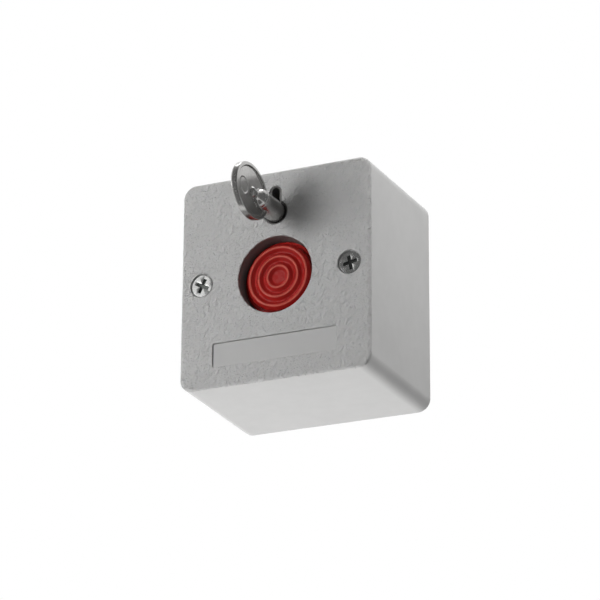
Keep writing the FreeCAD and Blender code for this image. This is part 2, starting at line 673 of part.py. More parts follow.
def mechanism_wall(f0, f1):
    return rounded_slab(-FRAME_HALF_WIDTH, FRAME_HALF_WIDTH, FRAME_LOW, FRAME_HIGH, FRAME_CORNER, f0, f1)


def spring_window(f0, f1):
    half = LATCH_SPRING_RADIUS + LATCH_SPRING_WIRE + SLIDE_GAP
    low = LATCH_SPRING_SEAT
    high = LATCH_LOW + SLIDE_GAP
    return slab(-half, half, f0, f1, low, high)


def mechanism_frame():
    frame = mechanism_wall(FRAME_FRONT, FRAME_REAR)
    adds = [rod(COLLAR_RADIUS, FRAME_FRONT - SPRING_COLLAR_HEIGHT, FRAME_REAR)]
    for side in (-1, 1):
        x0, x1 = sorted((side * RAIL_INNER, side * (RAIL_INNER + RAIL_WIDTH)))
        adds.append(slab(x0, x1, FRAME_REAR - EMBED, COVER_FRONT, RAIL_LOW, RAIL_HIGH))
    block = LATCH_SPRING_RADIUS * 2
    block_low = LATCH_SPRING_SEAT - SEAT_BLOCK
    adds.append(slab(-block, block, FRAME_REAR - EMBED, COVER_FRONT, block_low, LATCH_SPRING_SEAT))
    for x, z in FRAME_SCREW_PLACES:
        adds.append(rod(FRAME_BOSS_RADIUS, FRAME_REAR - EMBED, COVER_FRONT, x, z))
    frame = frame.fuse(adds)
    cuts = [rod(STEM_HOLE, 0, DEPTH), rod(CAM_RADIUS + SLIDE_GAP, 0, DEPTH, 0, KEY_Z)]
    cuts.append(spring_window(0, FRAME_REAR + SAME))
    for x, z in FRAME_SCREW_PLACES:
        cuts.append(rod(FRAME_SCREW_RADIUS + HOLE_GAP, 0, DEPTH, x, z))
    return frame.cut(cuts)


def mechanism_cover():
    cover = mechanism_wall(COVER_FRONT, COVER_REAR)
    posts = [rod(BOARD_POST_RADIUS, COVER_REAR - EMBED, BOARD_FRONT, x, z) for x, z in BOARD_POSTS]
    cover = cover.fuse(posts)
    cuts = [rod(STEM_HOLE, 0, DEPTH), rod(JOURNAL_RADIUS + SLIDE_GAP, 0, DEPTH, 0, KEY_Z)]
    cuts.append(spring_window(COVER_FRONT - OVERCUT, COVER_REAR + OVERCUT))
    for x, z in FRAME_SCREW_PLACES:
        cuts.append(rod(FRAME_SCREW_RADIUS + HOLE_GAP, 0, DEPTH, x, z))
    for x, z in BOARD_POSTS:
        tip = BOARD_REAR - BOARD_SCREW_LENGTH
        cuts.append(rod(BOARD_SCREW_RADIUS + STOP_PLAY, tip - PILOT_EXTRA, DEPTH, x, z))
    return cover.cut(cuts)


def pan_screw(x, z, seat, tip, radius, head_radius, head_height, turn):
    # A round-headed screw put in from behind, its head behind its seat
    screw = rod(radius, tip + radius, seat + EMBED, x, z)
    head = rod(head_radius, seat, seat + head_height, x, z)
    rim = [e for e in head.Edges if is_ring_at(e, seat + head_height)]
    head = head.makeFillet(head_height * HEAD_ROUND_SHARE, rim)
    screw = screw.fuse([head, cone(radius / 3, radius, tip, tip + radius, x, z)])
    recess = cross_recess(head_radius, seat + head_height, head_height * CROSS_SHARE, -1, turn, x, z)
    return screw.cut(recess)


def frame_screws():
    screws = []
    for i, (x, z) in enumerate(FRAME_SCREW_PLACES):
        screws.append(pan_screw(x, z, COVER_REAR, FRAME_SCREW_BITE, FRAME_SCREW_RADIUS,
                                FRAME_HEAD_RADIUS, FRAME_HEAD_HEIGHT, FRAME_SCREW_TURN_DEG * i))
    return Part.makeCompound(screws)


def board_screws():
    screws = []
    for i, (x, z) in enumerate(BOARD_POSTS):
        screws.append(pan_screw(x, z, BOARD_REAR, BOARD_REAR - BOARD_SCREW_LENGTH, BOARD_SCREW_RADIUS,
                                BOARD_HEAD_RADIUS, BOARD_HEAD_HEIGHT, BOARD_SCREW_TURN_DEG * i))
    return Part.makeCompound(screws)


def latch_slide():
    bar = slab(-LATCH_HALF_WIDTH, LATCH_HALF_WIDTH, LATCH_FRONT, LATCH_REAR, LATCH_LOW, STEM_HOLE)
    shoulder = LATCH_WINDOW_SHIFT + STEM_HOLE + LATCH_SHOULDER
    flare = LATCH_NOSE_HALF + LATCH_NOSE_FLARE
    nose = [at(-LATCH_HALF_WIDTH, LATCH_FRONT, STEM_HOLE), at(LATCH_HALF_WIDTH, LATCH_FRONT, STEM_HOLE),
            at(flare, LATCH_FRONT, shoulder), at(LATCH_NOSE_HALF, LATCH_FRONT, LATCH_NOSE_Z),
            at(-LATCH_NOSE_HALF, LATCH_FRONT, LATCH_NOSE_Z), at(-flare, LATCH_FRONT, shoulder)]
    top = Part.Face(Part.makePolygon(nose + [nose[0]])).extrude(along_y(LATCH_THICKNESS))
    half = LATCH_TONGUE_HALF
    tongue = slab(-half, half, LATCH_FRONT, LATCH_REAR, LATCH_LOW - LATCH_TONGUE_LENGTH, LATCH_LOW)
    latch = bar.fuse([top, tongue]).removeSplitter()
    f0 = LATCH_FRONT - OVERCUT
    f1 = LATCH_REAR + OVERCUT
    window = stadium(STEM_HOLE, 0, LATCH_WINDOW_SHIFT, f0, f1)
    # The nose follows the cam's base circle, so it is cut hollow at the same centre
    relief = rod(KEY_Z - LATCH_NOSE_Z, f0, f1, 0, KEY_Z)
    return latch.cut([window, relief])


def key_guide():
    body = rod(GUIDE_RADIUS, FACE_WALL, GUIDE_END, 0, KEY_Z)
    side = KEY_SLOT_HALF + GUIDE_SIDE
    upper = slab(-side, side, FACE_WALL, GUIDE_END, KEY_Z, KEY_Z + KEY_BIT_REACH + GUIDE_TOP_WALL)
    half = PEG_X + PEG_RADIUS + PEG_EDGE
    reach = GUIDE_FLANGE_HALF_HEIGHT
    flange = rounded_slab(-half, half, KEY_Z - reach, KEY_Z + reach, FRAME_CORNER, FACE_WALL,
                          FACE_WALL + GUIDE_FLANGE_THICKNESS)
    # The guide's front end lines the keyhole almost to the face
    lining = keyway(KEYHOLE_RADIUS - LINING_GAP, KEYHOLE_SLOT_HALF - LINING_GAP, KEYHOLE_TOP - LINING_GAP,
                    LINING_FRONT, FACE_WALL + EMBED)
    body = body.fuse([upper, flange, lining]).removeSplitter()
    cuts = [keyway(KEY_BORE, KEY_SLOT_HALF, KEY_SLOT_REACH, 0, DEPTH)]
    for side in (-1, 1):
        cuts.append(rod(PEG_RADIUS + HOLE_GAP, 0, DEPTH, side * PEG_X, KEY_Z))
    return body.cut(cuts)


def lobe():
    # The base circle, then a rise that grows evenly with the angle from straight down to its peak
    rim = []
    for i in range(LOBE_POINTS + 1):
        share = i / LOBE_POINTS
        angle = math.radians(DOWN + KEY_TURN_DEG * share)
        radius = CAM_BASE_RADIUS + CAM_LOBE_RISE * share
        rim.append(at(radius * math.cos(angle), CAM_DISC_REAR, KEY_Z + radius * math.sin(angle)))
    curve = Part.BSplineCurve()
    curve.interpolate(rim)
    end = math.radians(DOWN + KEY_TURN_DEG + LOBE_BACK_DEG)
    foot_radius = CAM_BASE_RADIUS * LOBE_FOOT_SHARE
    foot = at(foot_radius * math.cos(end), CAM_DISC_REAR, KEY_Z + foot_radius * math.sin(end))
    knee_radius = CAM_BASE_RADIUS + CAM_LOBE_RISE * LOBE_KNEE_SHARE
    knee = at(knee_radius * math.cos(end), CAM_DISC_REAR, KEY_Z + knee_radius * math.sin(end))
    centre = at(0, CAM_DISC_REAR, KEY_Z)
    edges = [curve.toShape(), Part.LineSegment(rim[-1], knee).toShape(),
             Part.LineSegment(knee, foot).toShape(), Part.LineSegment(foot, centre).toShape(),
             Part.LineSegment(centre, rim[0]).toShape()]
    wedge = Part.Face(Part.Wire(Part.__sortEdges__(edges))).extrude(along_y(CAM_LOBE_THICKNESS))
    return rod(CAM_BASE_RADIUS, CAM_DISC_REAR, LOBE_REAR, 0, KEY_Z).fuse(wedge)


def release_cam():
    disc = rod(CAM_RADIUS, CAM_FRONT, CAM_DISC_REAR, 0, KEY_Z)
    journal = rod(JOURNAL_RADIUS, LOBE_REAR - EMBED, TAIL_END - TAIL_DOME, 0, KEY_Z)
    cam = disc.fuse([lobe(), journal]).removeSplitter()
    groove = rod(JOURNAL_RADIUS + OVERCUT, CLIP_GROOVE_FRONT, CLIP_GROOVE_REAR, 0, KEY_Z)
    core = JOURNAL_RADIUS - JOURNAL_GROOVE
    groove = groove.cut(rod(core, CLIP_FRONT - OVERCUT, CLIP_REAR + OVERCUT, 0, KEY_Z))
    slot = keyway(KEY_BORE, KEY_SLOT_HALF, KEY_SLOT_REACH, CAM_FRONT - OVERCUT, KEY_BIT_REAR + SLIDE_GAP)
    bore = rod(KEY_BORE, CAM_FRONT - OVERCUT, KEY_TIP + BORE_REST, 0, KEY_Z)
    return cam.cut([groove, slot, bore])


def oval(half_f, half_z, x0, x1, ahead=0):
    # An oval plate in the plane of the key, thick along X, its longer half along the shank
    centre = at(x0, BOW_CENTRE - ahead, KEY_Z)
    far_end = centre + FreeCAD.Vector(0, half_f, 0)
    side = centre + FreeCAD.Vector(0, 0, half_z)
    rim = Part.Ellipse(far_end, side, centre)
    return Part.Face(Part.Wire([rim.toShape()])).extrude(FreeCAD.Vector(x1 - x0, 0, 0))


def key_bow():
    half = BOW_THICKNESS / 2
    bow = oval(BOW_HALF_DEPTH, BOW_HALF_HEIGHT, -half, half)
    flat = [e for e in bow.Edges if isinstance(e.Curve, Part.Ellipse)]
    bow = bow.makeFillet(BOW_EDGE_ROUND, flat)
    inner_f = BOW_HALF_DEPTH - BOW_RIM
    inner_z = BOW_HALF_HEIGHT - BOW_RIM
    floor = half - BOW_SINK
    mark = floor - MARK_DEPTH
    cuts = []
    for half_f, half_z, depth, ahead in ((inner_f, inner_z, floor, 0),
                                         (MARK_HALF_DEPTH, MARK_HALF_HEIGHT, mark, MARK_AHEAD)):
        cuts.append(oval(half_f, half_z, depth, half + OVERCUT, ahead))
        cuts.append(oval(half_f, half_z, -half - OVERCUT, -depth, ahead))
    return bow.cut(cuts)


def key():
    root_round = SHANK_ROOT_ROUND
    tip_start = KEY_TIP - KEY_TIP_CHAMFER
    shank = rod(KEY_SHANK_RADIUS, SHANK_ROOT, tip_start, 0, KEY_Z)
    root = [e for e in shank.Edges if is_ring_at(e, SHANK_ROOT)]
    shank = shank.makeFillet(root_round, root)
    tip = cone(KEY_SHANK_RADIUS, KEY_SHANK_RADIUS - KEY_TIP_CHAMFER, tip_start, KEY_TIP, 0, KEY_Z)
    # A rib swells out of the bow's sunk face and runs into the shank
    rib_start = SHANK_ROOT - RIB_LENGTH
    rib = cone(BOW_THICKNESS / 2 - BOW_SINK, RIB_RADIUS, rib_start, SHANK_ROOT + EMBED, 0, KEY_Z)
    bit_half = KEY_BIT_WIDTH / 2
    bit_end = KEY_Z + KEY_BIT_REACH - bit_half
    bit = slab(-bit_half, bit_half, KEY_BIT_FRONT, KEY_BIT_REAR, KEY_Z, bit_end)
    bit_round = rod(bit_half, KEY_BIT_FRONT, KEY_BIT_REAR, 0, bit_end)
    return key_bow().fuse([shank, tip, rib, bit, bit_round]).removeSplitter()


def circuit_board():
    board = rounded_slab(-BOARD_HALF_WIDTH, BOARD_HALF_WIDTH, BOARD_LOW, BOARD_HIGH, BOARD_CORNER,
                         BOARD_FRONT, BOARD_REAR)
    cuts = [rod(BOARD_SCREW_RADIUS + HOLE_GAP, 0, DEPTH, x, z) for x, z in BOARD_POSTS]
    cuts += [rod(LEG_RADIUS + HOLE_GAP, 0, DEPTH, 0, z) for z in leg_places()]
    cuts += [rod(LEG_RADIUS + HOLE_GAP, 0, DEPTH, x, BLOCK_PIN_Z) for x in POLES]
    return board.cut(cuts)


def leg_places():
    middle = SWITCH_LOW + SWITCH_LENGTH / 2
    return [middle - LEG_PITCH, middle, middle + LEG_PITCH]


def crosswise(radius, half):
    # A rod along X about the lever's pivot
    return Part.makeCylinder(radius, 2 * half, at(-half, PIVOT_F, PIVOT_Z), FreeCAD.Vector(1, 0, 0))


def switch_body():
    half = SWITCH_HALF_WIDTH
    high = SWITCH_LOW + SWITCH_LENGTH
    body = slab(-half, half, SWITCH_FRONT, BOARD_FRONT, SWITCH_LOW, high)
    ears = []
    reach = EAR_REACH
    for side in (-1, 1):
        x0, x1 = sorted((side * half, side * (half - EAR_WALL)))
        ears.append(slab(x0, x1, PIVOT_F - reach, SWITCH_FRONT + EMBED, PIVOT_Z - reach, PIVOT_Z + reach))
    body = body.fuse(ears).removeSplitter()
    pin_hole = crosswise(PIN_RADIUS + HOLE_GAP, half + OVERCUT)
    well_end = SWITCH_FRONT + ACTUATOR_INSIDE + ACTUATOR_ROOM
    well = rod(ACTUATOR_RADIUS + SLIDE_GAP, SWITCH_FRONT - OVERCUT, well_end, 0, PIVOT_Z - ACTUATOR_ARM)
    return body.cut([pin_hole, well])


def lever_angle(press):
    # The lever's slope, in degrees, where it touches the plunger's dome at a given press
    ahead = PIVOT_F - DOME_CENTRE - press
    reach = math.hypot(ahead, PIVOT_Z)
    lean = math.atan2(PIVOT_Z, ahead)
    rest = DOME_RADIUS + TOUCH_GAP + LEVER_THICKNESS / 2
    return math.degrees(math.acos(rest / reach) - lean)


def actuator_centre(press):
    slope = math.radians(lever_angle(press))
    rest = ACTUATOR_RADIUS + TOUCH_GAP + LEVER_THICKNESS / 2
    return PIVOT_F + (rest - ACTUATOR_ARM * math.sin(slope)) / math.cos(slope)


def switch_lever():
    half = SWITCH_HALF_WIDTH - EAR_WALL - SLIDE_GAP
    blade = slab(-half, half, PIVOT_F - LEVER_THICKNESS / 2, PIVOT_F + LEVER_THICKNESS / 2,
                 -LEVER_PAST_AXIS, PIVOT_Z)
    hub = crosswise(PIN_RADIUS + LEVER_THICKNESS, half)
    pin = crosswise(PIN_RADIUS, SWITCH_HALF_WIDTH)
    lever = blade.fuse([hub, pin]).removeSplitter()
    lever.rotate(at(0, PIVOT_F, PIVOT_Z), FreeCAD.Vector(1, 0, 0), -lever_angle(0))
    return lever


def switch_plunger():
    z = PIVOT_Z - ACTUATOR_ARM
    centre = actuator_centre(0)
    body = rod(ACTUATOR_RADIUS, centre, SWITCH_FRONT + ACTUATOR_INSIDE, 0, z)
    return body.fuse(Part.makeSphere(ACTUATOR_RADIUS, at(0, centre, z))).removeSplitter()


def switch_pins():
    pins = [rod(LEG_RADIUS, BOARD_FRONT, BOARD_REAR + LEG_PROUD, 0, z) for z in leg_places()]
    return Part.makeCompound(pins)


def terminal_block():
    half = POLE_COUNT * POLE_PITCH / 2 + BLOCK_END_WALL
    block = slab(-half, half, BOARD_REAR, BLOCK_REAR, BLOCK_LOW, BLOCK_HIGH)
    cuts = []
    for x in POLES:
        wide = CAGE_HALF_WIDTH + CAGE_GAP
        cuts.append(slab(x - wide, x + wide, CAGE_FRONT - CAGE_GAP, CAGE_REAR + CAGE_GAP,
                         BLOCK_LOW - OVERCUT, CAGE_HIGH + CAGE_GAP))
        cuts.append(rod(CLAMP_HEAD_RADIUS + HOLE_GAP, CAGE_REAR, DEPTH, x, CLAMP_SCREW_Z))
        cuts.append(rod(LEG_RADIUS + HOLE_GAP, BOARD_REAR - OVERCUT, CAGE_FRONT, x, BLOCK_PIN_Z))
    return block.cut(cuts)


def terminal_clamps():
    cages = []
    for x in POLES:
        cage = slab(x - CAGE_HALF_WIDTH, x + CAGE_HALF_WIDTH, CAGE_FRONT, CAGE_REAR, CAGE_LOW, CAGE_HIGH)
        inside = CAGE_HALF_WIDTH - CAGE_SIDE
        bar_front = CAGE_REAR - CAGE_BAR
        window = slab(x - inside, x + inside, CAGE_FRONT + CAGE_FLOOR, bar_front,
                      CAGE_LOW - OVERCUT, CAGE_HIGH + OVERCUT)
        hole = rod(CLAMP_SCREW_RADIUS + CAGE_GAP, bar_front - EMBED, CAGE_REAR + OVERCUT, x, CLAMP_SCREW_Z)
        cages.append(cage.cut([window, hole]))
    return Part.makeCompound(cages)


def terminal_screws():
    screws = []
    seat = CAGE_REAR
    top = seat + CLAMP_HEAD_HEIGHT
    for x in POLES:
        head = rod(CLAMP_HEAD_RADIUS, seat, top, x, CLAMP_SCREW_Z)
        shank = rod(CLAMP_SCREW_RADIUS, seat - CLAMP_SCREW_LENGTH, seat + STOP_PLAY, x, CLAMP_SCREW_Z)
        screw = head.fuse(shank)
        half = CLAMP_SLOT / 2
        slot = slab(x - half, x + half, top - CLAMP_HEAD_HEIGHT / 2, top + OVERCUT,
                    CLAMP_SCREW_Z - CLAMP_HEAD_RADIUS, CLAMP_SCREW_Z + CLAMP_HEAD_RADIUS)
        screws.append(screw.cut(slot))
    return Part.makeCompound(screws)


def terminal_pins():
    pins = [rod(LEG_RADIUS, BOARD_FRONT - BLOCK_PIN_PROUD, CAGE_FRONT, x, BLOCK_PIN_Z) for x in POLES]
    return Part.makeCompound(pins)


PIECES = {
    "front_cover": front_cover,
    "back_plate": back_plate,
    "cover_screws": cover_screws,
    "key_guide": key_guide,
    "mechanism_frame": mechanism_frame,
    "mechanism_cover": mechanism_cover,
    "frame_screws": frame_screws,
    "button_cap": button_cap,
    "plunger": plunger,
    "plunger_clip": lambda: retaining_clip(TAIL_GROOVE_RADIUS, CLIP_RADIUS, 0, 0),
    "return_spring": return_spring,
    "release_cam": release_cam,
    "cam_clip": lambda: retaining_clip(JOURNAL_RADIUS - JOURNAL_GROOVE, CLIP_RADIUS, 0, KEY_Z),
    "key": key,
    "latch_slide": latch_slide,
    "latch_spring": latch_spring,
    "circuit_board": circuit_board,
    "board_screws": board_screws,
    "switch_body": switch_body,
    "switch_lever": switch_lever,
    "switch_plunger": switch_plunger,
    "switch_pins": switch_pins,
    "terminal_block": terminal_block,
    "terminal_clamps": terminal_clamps,
    "terminal_screws": terminal_screws,
    "terminal_pins": terminal_pins,
}


def main():
    os.makedirs("parts", exist_ok=True)
    for name, make in PIECES.items():
        shape = make()
        print(name, len(shape.Solids), "valid" if shape.isValid() else "not valid", round(shape.Volume, 2))
        shape.exportStep("parts/" + name + ".step")
    print("lever turn", round(lever_angle(0) - lever_angle(BUTTON_TRAVEL), 3))
    print("actuator travel", round(actuator_centre(BUTTON_TRAVEL) - actuator_centre(0), 4))
    print("lever pivot", round(PIVOT_F - DEPTH, 3), round(PIVOT_Z, 3))


main()
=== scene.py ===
"""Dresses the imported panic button: a red button, a key and two screws in a grained grey case."""

from math import cos, pi, radians, sin, tan

import bpy
from mathutils import Matrix, Vector


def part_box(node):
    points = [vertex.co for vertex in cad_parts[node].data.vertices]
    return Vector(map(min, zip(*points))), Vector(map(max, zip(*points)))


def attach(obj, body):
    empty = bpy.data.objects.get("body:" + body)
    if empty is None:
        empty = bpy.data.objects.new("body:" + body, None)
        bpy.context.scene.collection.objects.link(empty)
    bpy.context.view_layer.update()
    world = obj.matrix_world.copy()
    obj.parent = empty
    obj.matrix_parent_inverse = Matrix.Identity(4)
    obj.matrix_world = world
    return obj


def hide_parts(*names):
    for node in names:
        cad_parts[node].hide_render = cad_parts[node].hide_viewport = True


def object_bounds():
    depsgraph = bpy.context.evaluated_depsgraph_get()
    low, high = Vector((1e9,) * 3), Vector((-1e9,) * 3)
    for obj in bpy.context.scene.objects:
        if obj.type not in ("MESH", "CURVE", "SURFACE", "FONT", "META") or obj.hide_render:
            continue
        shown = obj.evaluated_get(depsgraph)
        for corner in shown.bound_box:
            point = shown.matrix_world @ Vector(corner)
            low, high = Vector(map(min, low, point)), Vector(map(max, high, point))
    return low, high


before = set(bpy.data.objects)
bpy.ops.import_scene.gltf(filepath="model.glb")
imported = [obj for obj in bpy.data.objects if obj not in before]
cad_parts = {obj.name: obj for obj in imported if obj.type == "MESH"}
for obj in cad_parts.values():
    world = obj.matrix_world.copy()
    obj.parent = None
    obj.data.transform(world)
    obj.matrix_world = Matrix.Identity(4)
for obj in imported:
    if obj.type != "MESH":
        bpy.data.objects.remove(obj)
CAD_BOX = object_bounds()

bl_info = {
    "name": "Panic Button Finish",
    "version": (1, 0, 0),
    "blender": (4, 5, 0),
    "location": "3D View > Sidebar > Panic Button",
    "description": "Models the button, key and screws, gives every piece its finish, and sets the stage",
    "category": "Object",
}

MM = 0.001
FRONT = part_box("front_cover")[0][1]
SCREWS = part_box("cover_screws")

# Left, right, lower and upper edge of the sunk label
LABEL = (-15.9 * MM, 15.9 * MM, CAD_BOX[0].z + 5.42 * MM, CAD_BOX[0].z + 11.32 * MM)

# Height of the key's axis, and depth of the middle of its bow behind the face, below zero in front of it
KEY_AXIS = 15.65 * MM
BOW_MIDDLE = -13.9 * MM

# Radius and depth behind the face, in millimetres, along the neck from the middle of the bow into the shank
NECK = ((0, -13.9), (0.9, -13.9), (1.3, -13.5), (1.3, -13.0), (1.1, -12.3), (1.15, -11.6), (1.5, -10.8),
        (2.1, -10.0), (2.4, -9.3), (2.4, -8.0), (0, -8.0))


# Selecting and shaping

def rest():
    """Object mode with nothing selected."""
    if bpy.context.mode != "OBJECT":
        bpy.ops.object.mode_set(mode="OBJECT")
    bpy.ops.object.select_all(action="DESELECT")


def only(piece):
    rest()
    piece.select_set(True)
    bpy.context.view_layer.objects.active = piece


def fresh(name):
    """Names the primitive just added and puts its place into its mesh."""
    piece = bpy.context.active_object
    piece.name = name
    piece.data.name = name
    bpy.ops.object.transform_apply(location=True, rotation=True, scale=True)
    return piece


def edit(piece):
    only(piece)
    bpy.ops.object.mode_set(mode="EDIT")
    bpy.ops.mesh.select_mode(type="VERT")
    bpy.ops.mesh.select_all(action="SELECT")


def pick(piece, test):
    """Edit mode on a piece with only the corners that pass the test selected."""
    edit(piece)
    bpy.ops.mesh.select_all(action="DESELECT")
    bpy.ops.object.mode_set(mode="OBJECT")
    for corner in piece.data.vertices:
        corner.select = test(corner.co)
    bpy.ops.object.mode_set(mode="EDIT")


def modify(piece, kind, **settings):
    only(piece)
    bpy.ops.object.modifier_add(type=kind)
    modifier = piece.modifiers[-1]
    for key, value in settings.items():
        setattr(modifier, key, value)
    bpy.ops.object.modifier_apply(modifier=modifier.name)


def cut(piece, tool):
    modify(piece, "BOOLEAN", operation="DIFFERENCE", solver="EXACT", object=tool)
    discard(tool)


def discard(piece):
    only(piece)
    bpy.ops.object.delete()


def joined(name, pieces):
    only(pieces[0])
    for piece in pieces:
        piece.select_set(True)
    bpy.ops.object.join()
    return renamed(bpy.context.active_object, name)


def renamed(piece, name):
    piece.name = name
    piece.data.name = name
    return piece


def rounded(start, corner, end, radius, steps=4):
    """Points of a small round at a corner of an outline, tangent to both of its sides."""
    corner = Vector(corner)
    back = (Vector(start) - corner).normalized()
    ahead = (Vector(end) - corner).normalized()
    half = back.angle(ahead) / 2
    reach = radius / tan(half)
    centre = corner + (back + ahead).normalized() * (radius / sin(half))
    first = corner + back * reach - centre
    last = corner + ahead * reach - centre
    return [tuple(centre + first.slerp(last, i / steps) * radius) for i in range(steps + 1)]


def softened(points, radius):
    """An outline whose inner corners are all rounded."""
    soft = [points[0]]
    for start, corner, end in zip(points, points[1:], points[2:]):
        soft += rounded(start, corner, end, radius)
    return soft + [points[-1]]


def turned(name, outline, steps, x, z):
    """A body of revolution about an axis along Y, from an outline of radius and depth behind the face."""
    rest()
    radius, depth = outline[0]
    bpy.ops.mesh.primitive_plane_add(size=MM, location=(x + radius, FRONT + depth, z))
    piece = fresh(name)
    edit(piece)
    bpy.ops.mesh.merge(type="CENTER")
    for (r0, f0), (r1, f1) in zip(outline, outline[1:]):
        step = (r1 - r0, f1 - f0, 0)
        bpy.ops.mesh.extrude_region_move(TRANSFORM_OT_translate={"value": step})
    bpy.ops.mesh.select_all(action="SELECT")
    bpy.ops.mesh.spin(steps=steps, angle=2 * pi, center=(x, FRONT, z), axis=(0, 1, 0))
    close_seams(piece, MM / 1000)
    return piece


def close_seams(piece, reach):
    edit(piece)
    bpy.ops.mesh.remove_doubles(threshold=reach)
    bpy.ops.mesh.dissolve_degenerate(threshold=reach / 10)
    bpy.ops.mesh.normals_make_consistent(inside=False)
    rest()


def smooth(piece, angle):
    only(piece)
    bpy.ops.object.shade_smooth_by_angle(angle=radians(angle))


def hand_in(piece, body, node, finish):
    """The piece rides on its body, stands for its node and wears its finish."""
    piece.data.materials.clear()
    piece.data.materials.append(finish)
    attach(piece, body)
    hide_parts(node)


def dress(node, finish):
    """A CAD node keeps its shape and wears a finish in each of its slots."""
    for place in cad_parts[node].material_slots:
        place.material = finish


# Finishes

class Wire:
    """One output of a shader node; sums and products of wires add Math nodes."""

    def __init__(self, finish, socket):
        self.finish = finish
        self.socket = socket

    def also(self, name):
        return Wire(self.finish, self.socket.node.outputs[name])

    def maths(self, operation, first, second):
        return self.finish.node("ShaderNodeMath", {"operation": operation}, {0: first, 1: second})

    def __add__(self, other):
        return self.maths("ADD", self, other)

    def __radd__(self, other):
        return self.maths("ADD", other, self)

    def __sub__(self, other):
        return self.maths("SUBTRACT", self, other)

    def __rsub__(self, other):
        return self.maths("SUBTRACT", other, self)

    def __mul__(self, other):
        return self.maths("MULTIPLY", self, other)

    def __rmul__(self, other):
        return self.maths("MULTIPLY", other, self)

    def __truediv__(self, other):
        return self.maths("DIVIDE", self, other)

    def __rtruediv__(self, other):
        return self.maths("DIVIDE", other, self)

    def __pow__(self, other):
        return self.maths("POWER", self, other)


class Finish:
    """One procedural material, built on the piece's own Object coordinates."""

    def __init__(self, name, **uniform):
        self.material = bpy.data.materials.new(name)
        self.material.use_nodes = True
        self.tree = self.material.node_tree
        self.tree.nodes.clear()
        shader = self.node("ShaderNodeBsdfPrincipled", {}, {"Normal": None})
        self.shader = shader.socket.node
        self.output = self.tree.nodes.new("ShaderNodeOutputMaterial")
        self.feed(self.output.inputs["Surface"], shader)
        self.place = self.node("ShaderNodeTexCoord", {}, {}, "Object")
        for key, value in uniform.items():
            self.set(key.replace("_", " "), value)

    def node(self, kind, settings, inputs, output=0):
        made = self.tree.nodes.new(kind)
        for key, value in settings.items():
            setattr(made, key, value)
        for key, value in inputs.items():
            self.feed(made.inputs[key], value)
        return Wire(self, made.outputs[output]) if len(made.outputs) else None

    def feed(self, socket, value):
        if isinstance(value, Wire):
            self.tree.links.new(value.socket, socket)
        elif value is not None:
            socket.default_value = value

    def set(self, socket, value):
        if isinstance(value, tuple) and len(value) == 3:
            value = (*value, 1)
        self.feed(self.shader.inputs[socket], value)

    def show(self, shader):
        """Puts another shader in the place of the usual one."""
        self.feed(self.output.inputs["Surface"], shader)
        self.tree.nodes.remove(self.shader)

    def between(self, value, low, high, start=0.0, end=1.0):
        """Eases from start to end as the value goes from low to high."""
        return self.node("ShaderNodeMapRange", {"interpolation_type": "SMOOTHSTEP"},
                         {"Value": value, "From Min": low, "From Max": high, "To Min": start, "To Max": end})

    def within(self, value, low, high, margin):
        """One from low to high, easing to nothing over the margin outside them."""
        return self.between(value, low - margin, low) * self.between(value, high, high + margin, 1, 0)

    def blend(self, factor, first, second):
        """Mixes two colours."""
        colours = [value if isinstance(value, Wire) else (*value, 1) for value in (first, second)]
        return self.node("ShaderNodeMix", {"data_type": "RGBA"}, {0: factor, 6: colours[0], 7: colours[1]}, 2)

    def axes(self):
        """Object coordinates: across, back and up."""
        parts = self.node("ShaderNodeSeparateXYZ", {}, {"Vector": self.place})
        return parts, parts.also("Y"), parts.also("Z")

    def laid(self, stretch=(1, 1, 1), turn=(0, 0, 0)):
        """Object coordinates turned and stretched, so that a pattern runs one way."""
        turned_place = self.node("ShaderNodeMapping", {}, {"Vector": self.place, "Rotation": turn})
        return self.node("ShaderNodeMapping", {}, {"Vector": turned_place, "Scale": stretch})

    def noise(self, size, detail=2.0, rough=0.5, where=None, bend=0.0):
        """Soft noise from 0 to 1 with features of about the given size in metres."""
        return self.node("ShaderNodeTexNoise", {}, {"Vector": where or self.place, "Scale": 1 / size,
                                                    "Detail": detail, "Roughness": rough, "Distortion": bend})

    def rings(self, radius, size):
        """Fine turning marks, each about the given size wide."""
        return self.node("ShaderNodeTexNoise", {"noise_dimensions": "1D"}, {"W": radius, "Scale": 1 / size})

    def cells(self, size, where):
        """A chance colour in each cell of about the given size."""
        return self.node("ShaderNodeTexVoronoi", {}, {"Vector": where, "Scale": 1 / size}, "Color")

    def raise_by(self, height):
        """Bump from a height in metres, on top of any bump before it."""
        before = self.shader.inputs["Normal"].links
        normal = Wire(self, before[0].from_socket) if before else None
        bump = self.node("ShaderNodeBump", {}, {"Strength": 1.0, "Distance": 1.0, "Height": height,
                                                "Normal": normal})
        self.set("Normal", bump)


def moulded_plastic(name, colour, roughness, grain=0.6 * MM, depth=0.004 * MM, specular=0.5):
    """Moulded plastic: faint cloudiness, a soft change of gloss and a fine skin."""
    finish = Finish(name, Specular_IOR_Level=specular)
    cloud = finish.noise(9 * MM, 3)
    paler = tuple(min(1, part * 1.05) for part in colour)
    darker = tuple(part * 0.95 for part in colour)
    finish.set("Base Color", finish.blend(cloud, darker, paler))
    gloss = finish.between(finish.noise(3 * MM, 3), 0.3, 0.7, roughness - 0.05, roughness + 0.05)
    finish.set("Roughness", gloss)
    finish.raise_by(finish.noise(grain, 3) * depth)
    return finish


